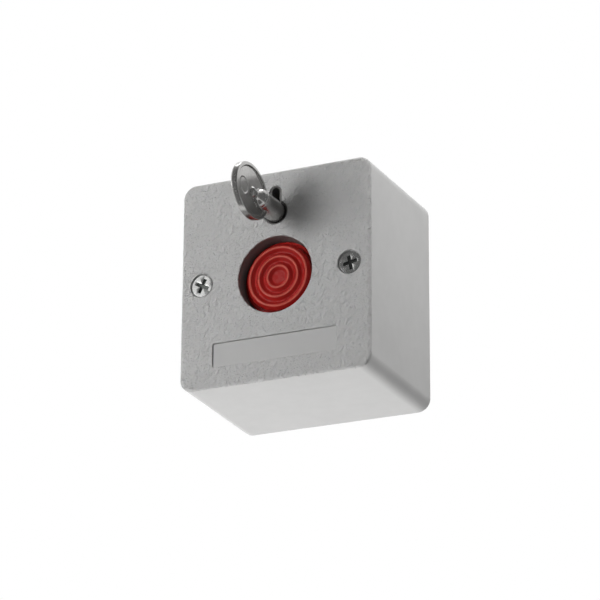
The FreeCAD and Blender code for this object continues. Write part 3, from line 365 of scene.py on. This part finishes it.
def plain_metal(name, colour, roughness, streak, size):
    """Bare or plated metal: drawn streaks, stains in its gloss and a slight change of tone."""
    finish = Finish(name, Metallic=1.0)
    stain = finish.noise(2.5 * MM, 4)
    marks = finish.noise(size, 4, 0.6, finish.laid(streak))
    duller = tuple(part * 0.82 for part in colour)
    finish.set("Base Color", finish.blend(finish.between(stain, 0.35, 0.65), duller, colour))
    finish.set("Roughness", roughness * (0.75 + marks * 0.3 + stain * 0.25))
    finish.raise_by(marks * (0.001 * MM))
    return finish


def grained_case(colour, grain_depth):
    """Case plastic: grain on the face and its rounded edge, a smooth label, satin sides, and painted shade
    darkening the well's wall.
    """
    finish = moulded_plastic("grained_case_plastic", colour, 0.52, 0.35 * MM, 0.006 * MM, 0.22)
    across, depth, up = finish.axes()
    behind = depth - FRONT
    radius = (across * across + up * up) ** 0.5
    # Painted shade: the wall of the button's well is given a darker grey that stands in for its shadow.
    well_shade = finish.between(radius, 9.6 * MM, 9.75 * MM, 1, 0) * finish.between(behind, 0.3 * MM, 0.8 * MM)
    tone = Wire(finish, finish.shader.inputs["Base Color"].links[0].from_socket)
    left, right, low, high = LABEL
    margin = 0.1 * MM
    in_label = finish.within(across, left, right, margin) * finish.within(up, low, high, margin)
    sunk = in_label * finish.between(behind, 0.1 * MM, 0.3 * MM)
    plain = finish.blend(sunk, tone, tuple(part * 0.93 for part in colour))
    finish.set("Base Color", finish.blend(well_shade, plain, (0.24, 0.235, 0.23)))
    on_face = finish.between(behind, 0.5 * MM, 0.9 * MM, 1, 0) * (1 - in_label)
    run = finish.laid((1.0, 1.0, 0.7), (0, radians(-38), 0))
    worms = finish.between(finish.noise(0.9 * MM, 2, 0.5, run, 0.6), 0.3, 0.72) ** 2
    pits = finish.between(finish.noise(0.34 * MM, 2, 0.5, run, 0.3), 0.25, 0.75)
    finish.raise_by(on_face * (worms * 0.7 + pits * 0.3) * grain_depth)
    return finish


def red_cap(colour, roughness):
    """Red satin moulding with a painted highlight and more gloss on its crests, faint turning marks and a
    little dust in its valleys.
    """
    finish = Finish("red_cap_plastic", Specular_IOR_Level=0.14)
    across, depth, up = finish.axes()
    radius = (across * across + up * up) ** 0.5
    cloud = finish.noise(4 * MM, 3)
    darker = tuple(part * 0.88 for part in colour)
    tone = finish.blend(finish.between(cloud, 0.35, 0.65), darker, colour)
    behind = depth - FRONT
    low = finish.between(behind, 2.25 * MM, 2.5 * MM) * finish.between(finish.noise(1.5 * MM, 4), 0.4, 0.7)
    on_top = finish.between(behind, 2.6 * MM, 2.7 * MM, 1, 0)
    dust = tuple(min(1, part + 0.05) for part in colour)
    # Painted highlight: the crests are mixed towards a pale pink that stands in for the light they catch.
    crest = finish.between(behind, 1.71 * MM, 1.86 * MM, 1, 0)
    lit = finish.blend(crest * 0.8, tone, (0.5, 0.1, 0.075))
    finish.set("Base Color", finish.blend(low * on_top * 0.35, lit, dust))
    finish.set("Roughness", roughness + 0.1 * cloud - 0.05 - 0.08 * crest)
    rings = finish.rings(radius, 0.12 * MM)
    finish.raise_by(rings * (0.0012 * MM) + finish.noise(0.3 * MM, 3) * (0.0015 * MM))
    return finish


def worn_nickel(colour, roughness):
    """Bright plating over a die casting: soft waves, fine scratches, and a shallow oval mark on the bow."""
    finish = Finish("nickel_plating", Metallic=1.0)
    mark_middle, mark_half_length, mark_half_height = BOW_MIDDLE - 4.0 * MM, 2.1 * MM, 1.95 * MM
    depth, up = finish.axes()[1:]
    haze = finish.noise(3 * MM, 4)
    spots = finish.between(finish.noise(0.5 * MM, 3), 0.62, 0.75)
    duller = tuple(part * 0.8 for part in colour)
    worn = finish.between(haze, 0.4, 0.75) * 0.5 + spots * 0.2
    finish.set("Base Color", finish.blend(worn, colour, duller))
    scratches = finish.noise(0.5 * MM, 3, 0.6, finish.laid((1, 0.12, 1), (radians(25), 0, 0)))
    finish.set("Roughness", roughness + 0.12 * haze + 0.1 * scratches + 0.1 * spots - 0.08)
    finish.raise_by(finish.noise(2.2 * MM, 2) * (0.02 * MM) + scratches * (0.0015 * MM))
    ahead = (depth - FRONT - mark_middle) / mark_half_length
    above = (up - KEY_AXIS) / mark_half_height
    outside = finish.between((ahead * ahead + above * above) ** 0.5, 0.9, 1.1)
    finish.raise_by(outside * (0.12 * MM))
    return finish


def bright_zinc(colour, roughness, screw_x):
    """Zinc plating with turning rings about each screw's axis, and painted shade, a dark grey, in the recess.
    """
    finish = Finish("bright_zinc_plating", Metallic=1.0)
    across, depth, up = finish.axes()
    side = finish.node("ShaderNodeMath", {"operation": "ABSOLUTE"}, {0: across}) - screw_x
    radius = (side * side + up * up) ** 0.5
    stain = finish.noise(0.8 * MM, 4)
    duller = tuple(part * 0.6 for part in colour)
    # Painted shade: deeper than the head's top, the cross recess turns a dark grey that stands in for its
    # shadow.
    sunk = finish.between(depth - FRONT, 0.44 * MM, 0.6 * MM)
    plated = finish.blend(finish.between(stain, 0.45, 0.8) * 0.3, colour, duller)
    finish.set("Base Color", finish.blend(sunk * 0.9, plated, (0.085, 0.095, 0.088)))
    finish.set("Roughness", roughness + 0.15 * stain - 0.05)
    finish.raise_by(finish.rings(radius, 0.08 * MM) * (0.0012 * MM) + stain * (0.004 * MM))
    return finish


def circuit_green(colour):
    """Green board: copper tracks under the lacquer, with bare glass at the cut edges."""
    finish = Finish("circuit_board_lacquer", Specular_IOR_Level=0.55)
    depth = finish.axes()[1]
    low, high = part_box("circuit_board")
    grid = finish.cells(3.2 * MM, finish.laid((1, 0.2, 1)))
    per_brick = 1 / (7 * MM)
    upright = finish.laid((per_brick, per_brick, per_brick), (radians(90), 0, 0))
    steps = finish.node("ShaderNodeTexBrick", {"offset": 0.35},
                        {"Vector": upright, "Color1": (1, 1, 1, 1), "Color2": (0.7, 0.7, 0.7, 1),
                         "Mortar": (0, 0, 0, 1), "Scale": 1.0, "Mortar Size": 0.045, "Mortar Smooth": 0.1},
                        "Fac")
    track = finish.between(steps, 0.4, 0.6)
    edge = finish.within(depth, low[1] + 0.15 * MM, high[1] - 0.15 * MM, 0.1 * MM)
    lighter = (colour[0] * 2.2, colour[1] * 1.6, colour[2] * 1.5)
    lacquer = finish.blend(track * 0.8, colour, lighter)
    weave = finish.noise(0.6 * MM, 2, 0.5, finish.laid((1, 1, 6)))
    glass = finish.blend(weave, (0.30, 0.27, 0.12), (0.42, 0.38, 0.2))
    tint = finish.blend(finish.between(grid, 0.2, 0.8) * 0.12, lacquer, (0.02, 0.09, 0.04))
    finish.set("Base Color", finish.blend(edge, tint, glass))
    finish.set("Roughness", 0.28 + 0.4 * edge + 0.06 * weave)
    finish.raise_by(track * (0.03 * MM) + weave * (0.002 * MM))
    return finish


# Settings that a user would change

class CapSettings(bpy.types.PropertyGroup):
    radius: bpy.props.FloatProperty(
        name="Radius", description="Radius of the red cap", default=8.3 * MM, unit="LENGTH", precision=5)
    drop: bpy.props.FloatProperty(
        name="Drop", description="How far the ridges lie behind the face", default=1.7 * MM, unit="LENGTH",
        precision=5)
    pitch: bpy.props.FloatProperty(
        name="Ridge pitch", description="From one ridge to the next", default=2.3 * MM, unit="LENGTH",
        precision=5)
    crest: bpy.props.FloatProperty(
        name="Ridge round", description="Radius of the crests and valleys", default=0.45 * MM, unit="LENGTH",
        precision=5)
    ridges: bpy.props.IntProperty(name="Ridges", description="Number of round ridges", default=3, min=1)
    colour: bpy.props.FloatVectorProperty(
        name="Colour", description="Red of the cap", default=(0.32, 0.0115, 0.0095), subtype="COLOR", min=0,
        max=1)


class KeySettings(bpy.types.PropertyGroup):
    half_depth: bpy.props.FloatProperty(
        name="Bow half depth", description="Half of the bow along the shank", default=8.55 * MM,
        unit="LENGTH", precision=5)
    half_height: bpy.props.FloatProperty(
        name="Bow half height", description="Half of the bow across the shank", default=6.7 * MM,
        unit="LENGTH", precision=5)
    thickness: bpy.props.FloatProperty(
        name="Bow thickness", description="Thickness of the bow", default=1.6 * MM, unit="LENGTH",
        precision=5)
    grain: bpy.props.FloatProperty(
        name="Casting grain", description="Voxel size that rounds and joins the casting", default=0.11 * MM,
        unit="LENGTH", precision=6)
    colour: bpy.props.FloatVectorProperty(
        name="Colour", description="Colour of the plating", default=(0.46, 0.455, 0.445), subtype="COLOR",
        min=0, max=1)


class ScrewSettings(bpy.types.PropertyGroup):
    head: bpy.props.FloatProperty(
        name="Head radius", description="Radius of a screw head", default=2.75 * MM, unit="LENGTH",
        precision=5)
    arm: bpy.props.FloatProperty(
        name="Arm width", description="Width of the cross recess", default=1.0 * MM, unit="LENGTH",
        precision=5)
    left_turn: bpy.props.FloatProperty(
        name="Left turn", description="Turn of the left cross", default=radians(27), subtype="ANGLE")
    right_turn: bpy.props.FloatProperty(
        name="Right turn", description="Turn of the right cross", default=radians(-12), subtype="ANGLE")
    colour: bpy.props.FloatVectorProperty(
        name="Colour", description="Colour of the plating", default=(0.62, 0.62, 0.61), subtype="COLOR",
        min=0, max=1)


class CaseSettings(bpy.types.PropertyGroup):
    colour: bpy.props.FloatVectorProperty(
        name="Colour", description="Grey of the moulded case", default=(0.458, 0.456, 0.452), subtype="COLOR",
        min=0, max=1)
    grain: bpy.props.FloatProperty(
        name="Grain depth", description="Depth of the leather grain on the face", default=0.34 * MM,
        unit="LENGTH", precision=6)


class StageSettings(bpy.types.PropertyGroup):
    azimuth: bpy.props.FloatProperty(
        name="Azimuth", description="How far the camera stands round to the right", default=radians(25.417),
        subtype="ANGLE")
    elevation: bpy.props.FloatProperty(
        name="Elevation", description="Height of the camera's view, below zero from below",
        default=radians(-21.291), subtype="ANGLE")
    roll: bpy.props.FloatProperty(
        name="Roll", description="Turn of the picture", default=radians(0.59), subtype="ANGLE")
    distance: bpy.props.FloatProperty(
        name="Distance", description="From the camera to the middle of the face", default=0.69767,
        unit="LENGTH")
    lens: bpy.props.FloatProperty(
        name="Lens", description="Focal length in millimetres", default=178.765)
    shift_x: bpy.props.FloatProperty(
        name="Shift across", description="Shift of the picture across, as a share of its width",
        default=0.0423)
    shift_y: bpy.props.FloatProperty(
        name="Shift up", description="Shift of the picture up, as a share of its width", default=-0.0438)
    ambient: bpy.props.FloatProperty(
        name="Ambient", description="Level of the light from all round", default=0.18)


GROUPS = {"cap": CapSettings, "key": KeySettings, "screws": ScrewSettings, "case": CaseSettings,
          "stage": StageSettings}


def settings(name):
    return getattr(bpy.context.scene, "panic_button_" + name)


# Pieces

def cap_outline(cap):
    """Radius and depth along the cap: a flat disc, round ridges, the side, the flange and the socket."""
    slope = radians(45)
    reach = cap.crest * sin(slope)
    dip = cap.crest * (1 - cos(slope))
    height = 2 * dip + (cap.pitch / 2 - 2 * reach) * tan(slope)
    low = cap.drop + height
    first_ridge = 2.7 * MM
    first_valley = first_ridge - cap.pitch / 2
    disc = first_valley - 0.4 * MM
    steps = 6
    leans = [slope * i / steps for i in range(-steps, steps + 1)]

    def valley(radius, sweep):
        return [(radius + cap.crest * sin(a), low - cap.crest * (1 - cos(a))) for a in sweep]

    outline = [(0, low), (disc, low)] + valley(first_valley, leans[steps:])
    for i in range(cap.ridges):
        crest = first_ridge + cap.pitch * i
        outline += [(crest + cap.crest * sin(a), cap.drop + cap.crest * (1 - cos(a))) for a in leans]
        if i < cap.ridges - 1:
            outline += valley(crest + cap.pitch / 2, leans)
    edge = 0.5 * MM
    fall, fall_depth = outline[-1]
    corner = cap.radius - edge * (1 - cos(slope))
    corner_depth = fall_depth + (corner - fall) * tan(slope)
    side = corner_depth + edge * sin(slope)
    for i in range(steps + 1):
        lean = slope * (1 - i / steps)
        outline.append((cap.radius - edge * (1 - cos(lean)), side - edge * sin(lean)))
    return outline + softened(cap_underside(cap.radius, side, low), 0.12 * MM)[1:]


def cap_underside(radius, side, low):
    """Corners from the cap's side over the flange and the skirt to the socket for the plunger."""
    wall = 1.2 * MM
    flange = 9.3 * MM
    skirt_end = 4.4 * MM
    flange_top = skirt_end - 0.6 * MM
    bore = 2.15 * MM
    socket = 3.5 * MM
    socket_end = 5.0 * MM
    roof = low + wall
    return [(radius, side), (radius, flange_top), (flange, flange_top), (flange, skirt_end),
            (radius - wall, skirt_end), (radius - wall, roof), (socket, roof), (socket, socket_end),
            (bore, socket_end), (bore, roof), (0, roof)]


class PANIC_OT_cap(bpy.types.Operator):
    """Turns the red cap with its round ridges, flange and socket"""
    bl_idname = "panic_button.cap"
    bl_label = "Button cap"

    def execute(self, context):
        cap = settings("cap")
        piece = turned("ridged_cap", cap_outline(cap), 168, 0, 0)
        smooth(piece, 35)
        hand_in(piece, "button", "button_cap", red_cap(tuple(cap.colour), 0.3).material)
        return {"FINISHED"}


def oval(name, x, f, z, half_x, half_f, half_z, corners=144):
    """An oval plate in the plane of the key."""
    rest()
    bpy.ops.mesh.primitive_cylinder_add(vertices=corners, radius=MM, depth=2 * half_x,
                                        rotation=(0, pi / 2, 0), location=(x, FRONT + f, z),
                                        scale=(half_z / MM, half_f / MM, 1))
    return fresh(name)


def block(name, x, f, z, half_x, half_f, half_z):
    rest()
    bpy.ops.mesh.primitive_cube_add(size=2, location=(x, FRONT + f, z), scale=(half_x, half_f, half_z))
    return fresh(name)


def key_bow(key):
    """An oval plate with rounded edges and a sunk face on each side."""
    half = key.thickness / 2
    rim = 0.95 * MM
    sink = 0.35 * MM
    bow = oval("bow", 0, BOW_MIDDLE, KEY_AXIS, half, key.half_depth, key.half_height)
    modify(bow, "BEVEL", width=0.28 * MM, segments=4, limit_method="ANGLE", angle_limit=radians(60))
    for side in (-1, 1):
        tool = oval("sunk_face", side * (2 * half - sink), BOW_MIDDLE, KEY_AXIS, half,
                    key.half_depth - rim, key.half_height - rim)
        cut(bow, tool)
    return bow


def key_shank():
    """The round shank, from its root in front of the face to its tapered end in the barrel."""
    root = -9.2 * MM
    end = 11.5 * MM
    radius = 2.55 * MM
    taper = 0.8 * MM
    edge = rounded((0, root), (radius, root), (radius, 0), 0.9 * MM, 8)
    outline = [(0, root)] + edge + [(radius, end - taper), (radius - taper, end), (0, end)]
    return turned("shank", outline, 96, 0, KEY_AXIS)


def key_neck():
    """The neck, which swells from a waist into the root of the shank."""
    return turned("neck", [(r * MM, f * MM) for r, f in NECK], 64, 0, KEY_AXIS)


def key_bit():
    """The flat bit that stands up from the shank, and its round end."""
    middle = 9.0 * MM
    half_length = 1.1 * MM
    half_thick = 0.8 * MM
    height = 5.2 * MM
    start, end = middle - half_length, middle + half_length
    plate = block("bit", 0, middle, KEY_AXIS + height / 2, half_thick, half_length, height / 2)
    outline = [(0, start), (half_thick, start), (half_thick, end), (0, end)]
    return [plate, turned("bit_end", outline, 48, 0, KEY_AXIS + height)]


class PANIC_OT_key(bpy.types.Operator):
    """Casts the key: oval bow with sunk faces, swelling neck, round shank and bit"""
    bl_idname = "panic_button.key"
    bl_label = "Key"

    def execute(self, context):
        key = settings("key")
        piece = joined("cast_key", [key_bow(key), key_shank(), key_neck(), *key_bit()])
        modify(piece, "REMESH", mode="VOXEL", voxel_size=key.grain, adaptivity=0, use_smooth_shade=True)
        modify(piece, "SMOOTH", factor=0.5, iterations=3)
        close_seams(piece, MM / 10000)
        smooth(piece, 180)
        hand_in(piece, "key", "key", worn_nickel(tuple(key.colour), 0.19).material)
        return {"FINISHED"}


def cross_tool(x, top, reach, arm, depth, turn):
    """The two crossed arms of a recess, narrower at the bottom."""
    narrowing = 0.72
    arms = []
    for half_x, half_z in ((reach, arm / 2), (arm / 2, reach)):
        rest()
        bpy.ops.mesh.primitive_cube_add(size=2, location=(x, FRONT + top, 0), rotation=(0, turn, 0),
                                        scale=(half_x, depth, half_z))
        tool = fresh("cross_arm")
        pick(tool, lambda corner: corner.y > FRONT + top)
        bpy.ops.transform.resize(value=(narrowing, 1, narrowing), center_override=(x, FRONT + top, 0))
        rest()
        arms.append(tool)
    return arms


def screw_outline(head, top):
    """Radius and depth along a screw: the head's edge and rim, its cone, the shank and the point."""
    rim = 0.2 * MM
    cone = 1.5 * MM
    shank = 1.4 * MM
    length = 13 * MM
    point = 1.0 * MM
    edge = rounded((0, top), (head, top), (head, top + MM), 0.1 * MM)
    return [(0, top)] + edge + [(head, top + rim), (shank, top + cone), (shank, top + length - point),
                                (shank - point, top + length), (0, top + length)]


class PANIC_OT_screws(bpy.types.Operator):
    """Turns the two countersunk screws and cuts their cross recesses"""
    bl_idname = "panic_button.screws"
    bl_label = "Cover screws"

    def execute(self, context):
        screws = settings("screws")
        sunk = 0.4 * MM
        recess = 0.55 * MM
        x = SCREWS[1][0] - screws.head
        finish = bright_zinc(tuple(screws.colour), 0.17, x).material
        outline = screw_outline(screws.head, sunk)
        for side, turn in ((-1, screws.left_turn), (1, screws.right_turn)):
            name = "screw_left" if side < 0 else "screw_right"
            piece = turned(name, outline, 96, side * x, 0)
            for tool in cross_tool(side * x, sunk, 0.78 * screws.head, screws.arm, recess, turn):
                cut(piece, tool)
            modify(piece, "BEVEL", width=0.035 * MM, segments=2, limit_method="ANGLE",
                   angle_limit=radians(50))
            close_seams(piece, MM / 10000)
            smooth(piece, 40)
            hand_in(piece, "housing", "cover_screws", finish)
        return {"FINISHED"}


class PANIC_OT_case(bpy.types.Operator):
    """Gives the case its grained face and satin sides"""
    bl_idname = "panic_button.case"
    bl_label = "Case"

    def execute(self, context):
        case = settings("case")
        colour = tuple(case.colour)
        dress("front_cover", grained_case(colour, case.grain).material)
        dress("back_plate", moulded_plastic("back_plate_plastic", colour, 0.5, 0.5 * MM, 0.003 * MM).material)
        return {"FINISHED"}


class PANIC_OT_works(bpy.types.Operator):
    """Gives the latching works behind the face their plastics and metals"""
    bl_idname = "panic_button.works"
    bl_label = "Latching works"

    def execute(self, context):
        nylon = moulded_plastic("black_nylon", (0.1, 0.097, 0.093), 0.48, 0.4 * MM, 0.004 * MM).material
        acetal = moulded_plastic("natural_acetal", (0.74, 0.73, 0.69), 0.4, 0.9 * MM, 0.004 * MM).material
        spring = plain_metal("spring_wire", (0.56, 0.56, 0.57), 0.3, (1, 0.3, 1), 0.25 * MM).material
        stamped = plain_metal("stamped_steel", (0.6, 0.6, 0.61), 0.34, (1, 1, 0.12), 0.3 * MM).material
        zinc = plain_metal("zinc_plated_steel", (0.68, 0.69, 0.7), 0.3, (1, 0.2, 1), 0.2 * MM).material
        for node in ("key_guide", "release_cam"):
            dress(node, nylon)
        for node in ("mechanism_frame", "mechanism_cover", "plunger"):
            dress(node, acetal)
        for node in ("return_spring", "latch_spring"):
            dress(node, spring)
        for node in ("latch_slide", "plunger_clip", "cam_clip"):
            dress(node, stamped)
        dress("frame_screws", zinc)
        return {"FINISHED"}


class PANIC_OT_wiring(bpy.types.Operator):
    """Gives the switch, the circuit board and the terminals their finishes"""
    bl_idname = "panic_button.wiring"
    bl_label = "Switch and terminals"

    def execute(self, context):
        tin = plain_metal("tinned_brass", (0.7, 0.68, 0.62), 0.32, (1, 0.2, 1), 0.2 * MM).material
        cage = plain_metal("plated_brass", (0.66, 0.61, 0.5), 0.3, (1, 1, 0.2), 0.25 * MM).material
        steel = plain_metal("terminal_steel", (0.62, 0.62, 0.63), 0.3, (0.2, 1, 1), 0.2 * MM).material
        blade = plain_metal("spring_blade", (0.58, 0.58, 0.58), 0.25, (1, 1, 0.1), 0.25 * MM).material
        dress("circuit_board", circuit_green((0.012, 0.105, 0.035)).material)
        dress("switch_body", moulded_plastic("switch_black", (0.025, 0.025, 0.027), 0.42).material)
        dress("switch_plunger", moulded_plastic("switch_red", (0.5, 0.03, 0.02), 0.3).material)
        dress("terminal_block", moulded_plastic("terminal_green", (0.03, 0.2, 0.075), 0.4).material)
        dress("switch_lever", blade)
        for node in ("switch_pins", "terminal_pins"):
            dress(node, tin)
        dress("terminal_clamps", cage)
        for node in ("terminal_screws", "board_screws"):
            dress(node, steel)
        return {"FINISHED"}


# Stage

# Direction, level, width and height in degrees, and distance of each lamp
LAMPS = {
    "key_lamp": ((-0.50, -0.86, 0.03), 0.85, 36, 30, 0.30),
    "low_lamp": ((-0.45, 0.30, -0.84), 1.30, 40, 40, 0.8),
    "side_lamp": ((0.86, 0.08, 0.50), 0.66, 12, 22, 0.22),
    "top_lamp": ((-0.10, 0.10, 0.99), 0.60, 40, 40, 0.8),
    "back_lamp": ((-0.20, 0.97, 0.10), 0.60, 45, 45, 0.8),
}

# Place of the middle, size across and up, turn about Z in degrees and level of the cards that only
# reflections see
SHEEN_CARD = ((-0.216, -0.21, 0.012), (0.10, 0.08), -46, 4.0)
RIGHT_CARD = ((0.14, -0.03, 0.05), (0.20, 0.30), 90, 0.2)

# Left and right end, radius, height of the middle and level of the hood that darkens reflections
HOOD = (-0.066, 0.10, 0.125, 0.015, 0.16)

FLOOR_SIZE = 6


def add_camera(stage):
    """A camera below and to the right of the face, with its picture a little turned."""
    az, el = stage.azimuth, stage.elevation
    back = Vector((sin(az) * cos(el), -cos(az) * cos(el), sin(el)))
    level = Vector((cos(az), sin(az), 0))
    upright = back.cross(level)
    right = level * cos(stage.roll) + upright * sin(stage.roll)
    up = upright * cos(stage.roll) - level * sin(stage.roll)
    rest()
    bpy.ops.object.camera_add()
    camera = bpy.context.active_object
    camera.name = "camera"
    turn = Matrix((right, up, back)).transposed().to_4x4()
    camera.matrix_world = Matrix.Translation(Vector((0, FRONT, 0)) + back * stage.distance) @ turn
    camera.data.lens = stage.lens
    camera.data.sensor_width = 36
    camera.data.shift_x = stage.shift_x
    camera.data.shift_y = stage.shift_y
    camera.data.clip_start = 0.01
    bpy.context.scene.camera = camera


def add_lamp(name, towards, level, width, height, away):
    """A lamp that looks at the object, whose level is the share of a white sheet's light that it gives."""
    towards = Vector(towards).normalized()
    rest()
    bpy.ops.object.light_add(type="AREA", location=towards * away + Vector((0, FRONT, 0)))
    lamp = bpy.context.active_object
    lamp.name = name
    lamp.rotation_euler = towards.to_track_quat("Z", "Y").to_euler()
    lamp.data.shape = "ELLIPSE"
    lamp.data.size = 2 * away * tan(radians(width) / 2)
    lamp.data.size_y = 2 * away * tan(radians(height) / 2)
    lamp.data.energy = level * pi ** 2 * away ** 2
    lamp.visible_glossy = name == "top_lamp"
    lamp.visible_camera = False


def add_card(name, place, size, turn, level):
    """An upright card that shows in reflections and nowhere else."""
    rest()
    bpy.ops.mesh.primitive_plane_add(size=1, location=(place[0], FRONT + place[1], place[2]),
                                     rotation=(pi / 2, 0, radians(turn)))
    card = bpy.context.active_object
    card.scale = (size[0], size[1], 1)
    only_in_reflections(card, name, level)


def add_hood(name, left, right, radius, middle, level):
    """A half tube across the object, open behind, that shows in reflections and nowhere else."""
    rest()
    bpy.ops.mesh.primitive_cylinder_add(vertices=64, radius=radius, depth=right - left,
                                        end_fill_type="NOTHING", rotation=(0, pi / 2, 0),
                                        location=((left + right) / 2, FRONT, middle))
    hood = fresh(name)
    pick(hood, lambda corner: corner.y > FRONT + MM)
    bpy.ops.mesh.delete(type="VERT")
    rest()
    only_in_reflections(hood, name, level)


def only_in_reflections(card, name, level):
    card.name = name
    card.data.materials.append(card_finish(name, level))
    card.visible_camera = False
    card.visible_diffuse = False
    card.visible_transmission = False
    card.visible_shadow = False


def card_finish(name, level):
    finish = Finish(name)
    soft = finish.noise(0.3, 2) * 0.1 + 0.95
    glow = finish.node("ShaderNodeEmission", {}, {"Color": (1, 1, 1, 1), "Strength": soft * level})
    finish.show(glow)
    return finish.material


def add_world(ambient):
    """A white background for the camera and for reflections, and plain light for all else."""
    world = bpy.data.worlds.new("studio")
    bpy.context.scene.world = world
    world.use_nodes = True
    tree = world.node_tree
    tree.nodes.clear()
    path = tree.nodes.new("ShaderNodeLightPath")
    seen = tree.nodes.new("ShaderNodeMath")
    seen.operation = "MAXIMUM"
    tree.links.new(path.outputs["Is Camera Ray"], seen.inputs[0])
    tree.links.new(path.outputs["Is Glossy Ray"], seen.inputs[1])
    clear = tree.nodes.new("ShaderNodeMath")
    clear.operation = "MAXIMUM"
    tree.links.new(seen.outputs[0], clear.inputs[0])
    tree.links.new(path.outputs["Is Transmission Ray"], clear.inputs[1])
    light = tree.nodes.new("ShaderNodeMapRange")
    light.inputs["To Min"].default_value = ambient
    light.inputs["To Max"].default_value = 1.0
    tree.links.new(clear.outputs[0], light.inputs["Value"])
    sky = tree.nodes.new("ShaderNodeBackground")
    sky.inputs["Color"].default_value = (1, 1, 1, 1)
    tree.links.new(light.outputs[0], sky.inputs["Strength"])
    out = tree.nodes.new("ShaderNodeOutputWorld")
    tree.links.new(sky.outputs[0], out.inputs["Surface"])


def floor_finish():
    """Pale floor, white away from the object, that lets a camera below see through it."""
    finish = Finish("pale_floor")
    across, depth = finish.axes()[:2]
    radius = (across * across + depth * depth) ** 0.5
    matte = finish.node("ShaderNodeBsdfDiffuse", {}, {"Color": (0.8, 0.8, 0.8, 1)})
    away = finish.between(radius, 0.12, 0.6, 0.32, 1.0)
    glow = finish.node("ShaderNodeEmission", {}, {"Color": (1, 1, 1, 1), "Strength": away})
    lit = finish.node("ShaderNodeAddShader", {}, {0: matte, 1: glow})
    clear = finish.node("ShaderNodeBsdfTransparent", {}, {})
    below = finish.node("ShaderNodeNewGeometry", {}, {}, "Backfacing")
    seen = finish.node("ShaderNodeMixShader", {}, {0: below, 1: lit, 2: clear})
    finish.show(seen)
    return finish.material


class PANIC_OT_stage(bpy.types.Operator):
    """Sets the camera, the soft lamps, the white surround and the pale floor"""
    bl_idname = "panic_button.stage"
    bl_label = "Stage"

    def execute(self, context):
        stage = settings("stage")
        add_camera(stage)
        for name, lamp in LAMPS.items():
            add_lamp(name, *lamp)
        add_card("sheen_card", *SHEEN_CARD)
        add_card("right_card", *RIGHT_CARD)
        add_hood("dark_hood", *HOOD)
        add_world(stage.ambient)
        rest()
        bpy.ops.mesh.primitive_plane_add(size=FLOOR_SIZE, location=(0, 0, CAD_BOX[0].z))
        floor = bpy.context.active_object
        floor.name = "floor"
        floor.data.materials.append(floor_finish())
        floor.visible_shadow = False
        floor.visible_diffuse = False
        floor.visible_glossy = False
        context.scene.view_settings.view_transform = "Standard"
        return {"FINISHED"}


# Panel and registration

class PANIC_PT_finish(bpy.types.Panel):
    """Lists the pieces and their settings"""
    bl_idname = "PANIC_PT_finish"
    bl_label = "Panic Button"
    bl_space_type = "VIEW_3D"
    bl_region_type = "UI"
    bl_category = "Panic Button"

    def draw(self, context):
        for operator in OPERATORS:
            self.layout.operator(operator.bl_idname)
        for name, group in GROUPS.items():
            column = self.layout.column(heading=name.capitalize())
            for key in group.__annotations__:
                column.prop(settings(name), key)


OPERATORS = (PANIC_OT_cap, PANIC_OT_key, PANIC_OT_screws, PANIC_OT_case, PANIC_OT_works, PANIC_OT_wiring,
             PANIC_OT_stage)
CLASSES = (*GROUPS.values(), *OPERATORS, PANIC_PT_finish)


def register():
    for kind in CLASSES:
        bpy.utils.register_class(kind)
    for name, group in GROUPS.items():
        setattr(bpy.types.Scene, "panic_button_" + name, bpy.props.PointerProperty(type=group))


def unregister():
    for name in GROUPS:
        delattr(bpy.types.Scene, "panic_button_" + name)
    for kind in reversed(CLASSES):
        bpy.utils.unregister_class(kind)


def main():
    register()
    bpy.ops.panic_button.cap()
    bpy.ops.panic_button.key()
    bpy.ops.panic_button.screws()
    bpy.ops.panic_button.case()
    bpy.ops.panic_button.works()
    bpy.ops.panic_button.wiring()
    bpy.ops.panic_button.stage()


if __name__ == "__main__":
    main()
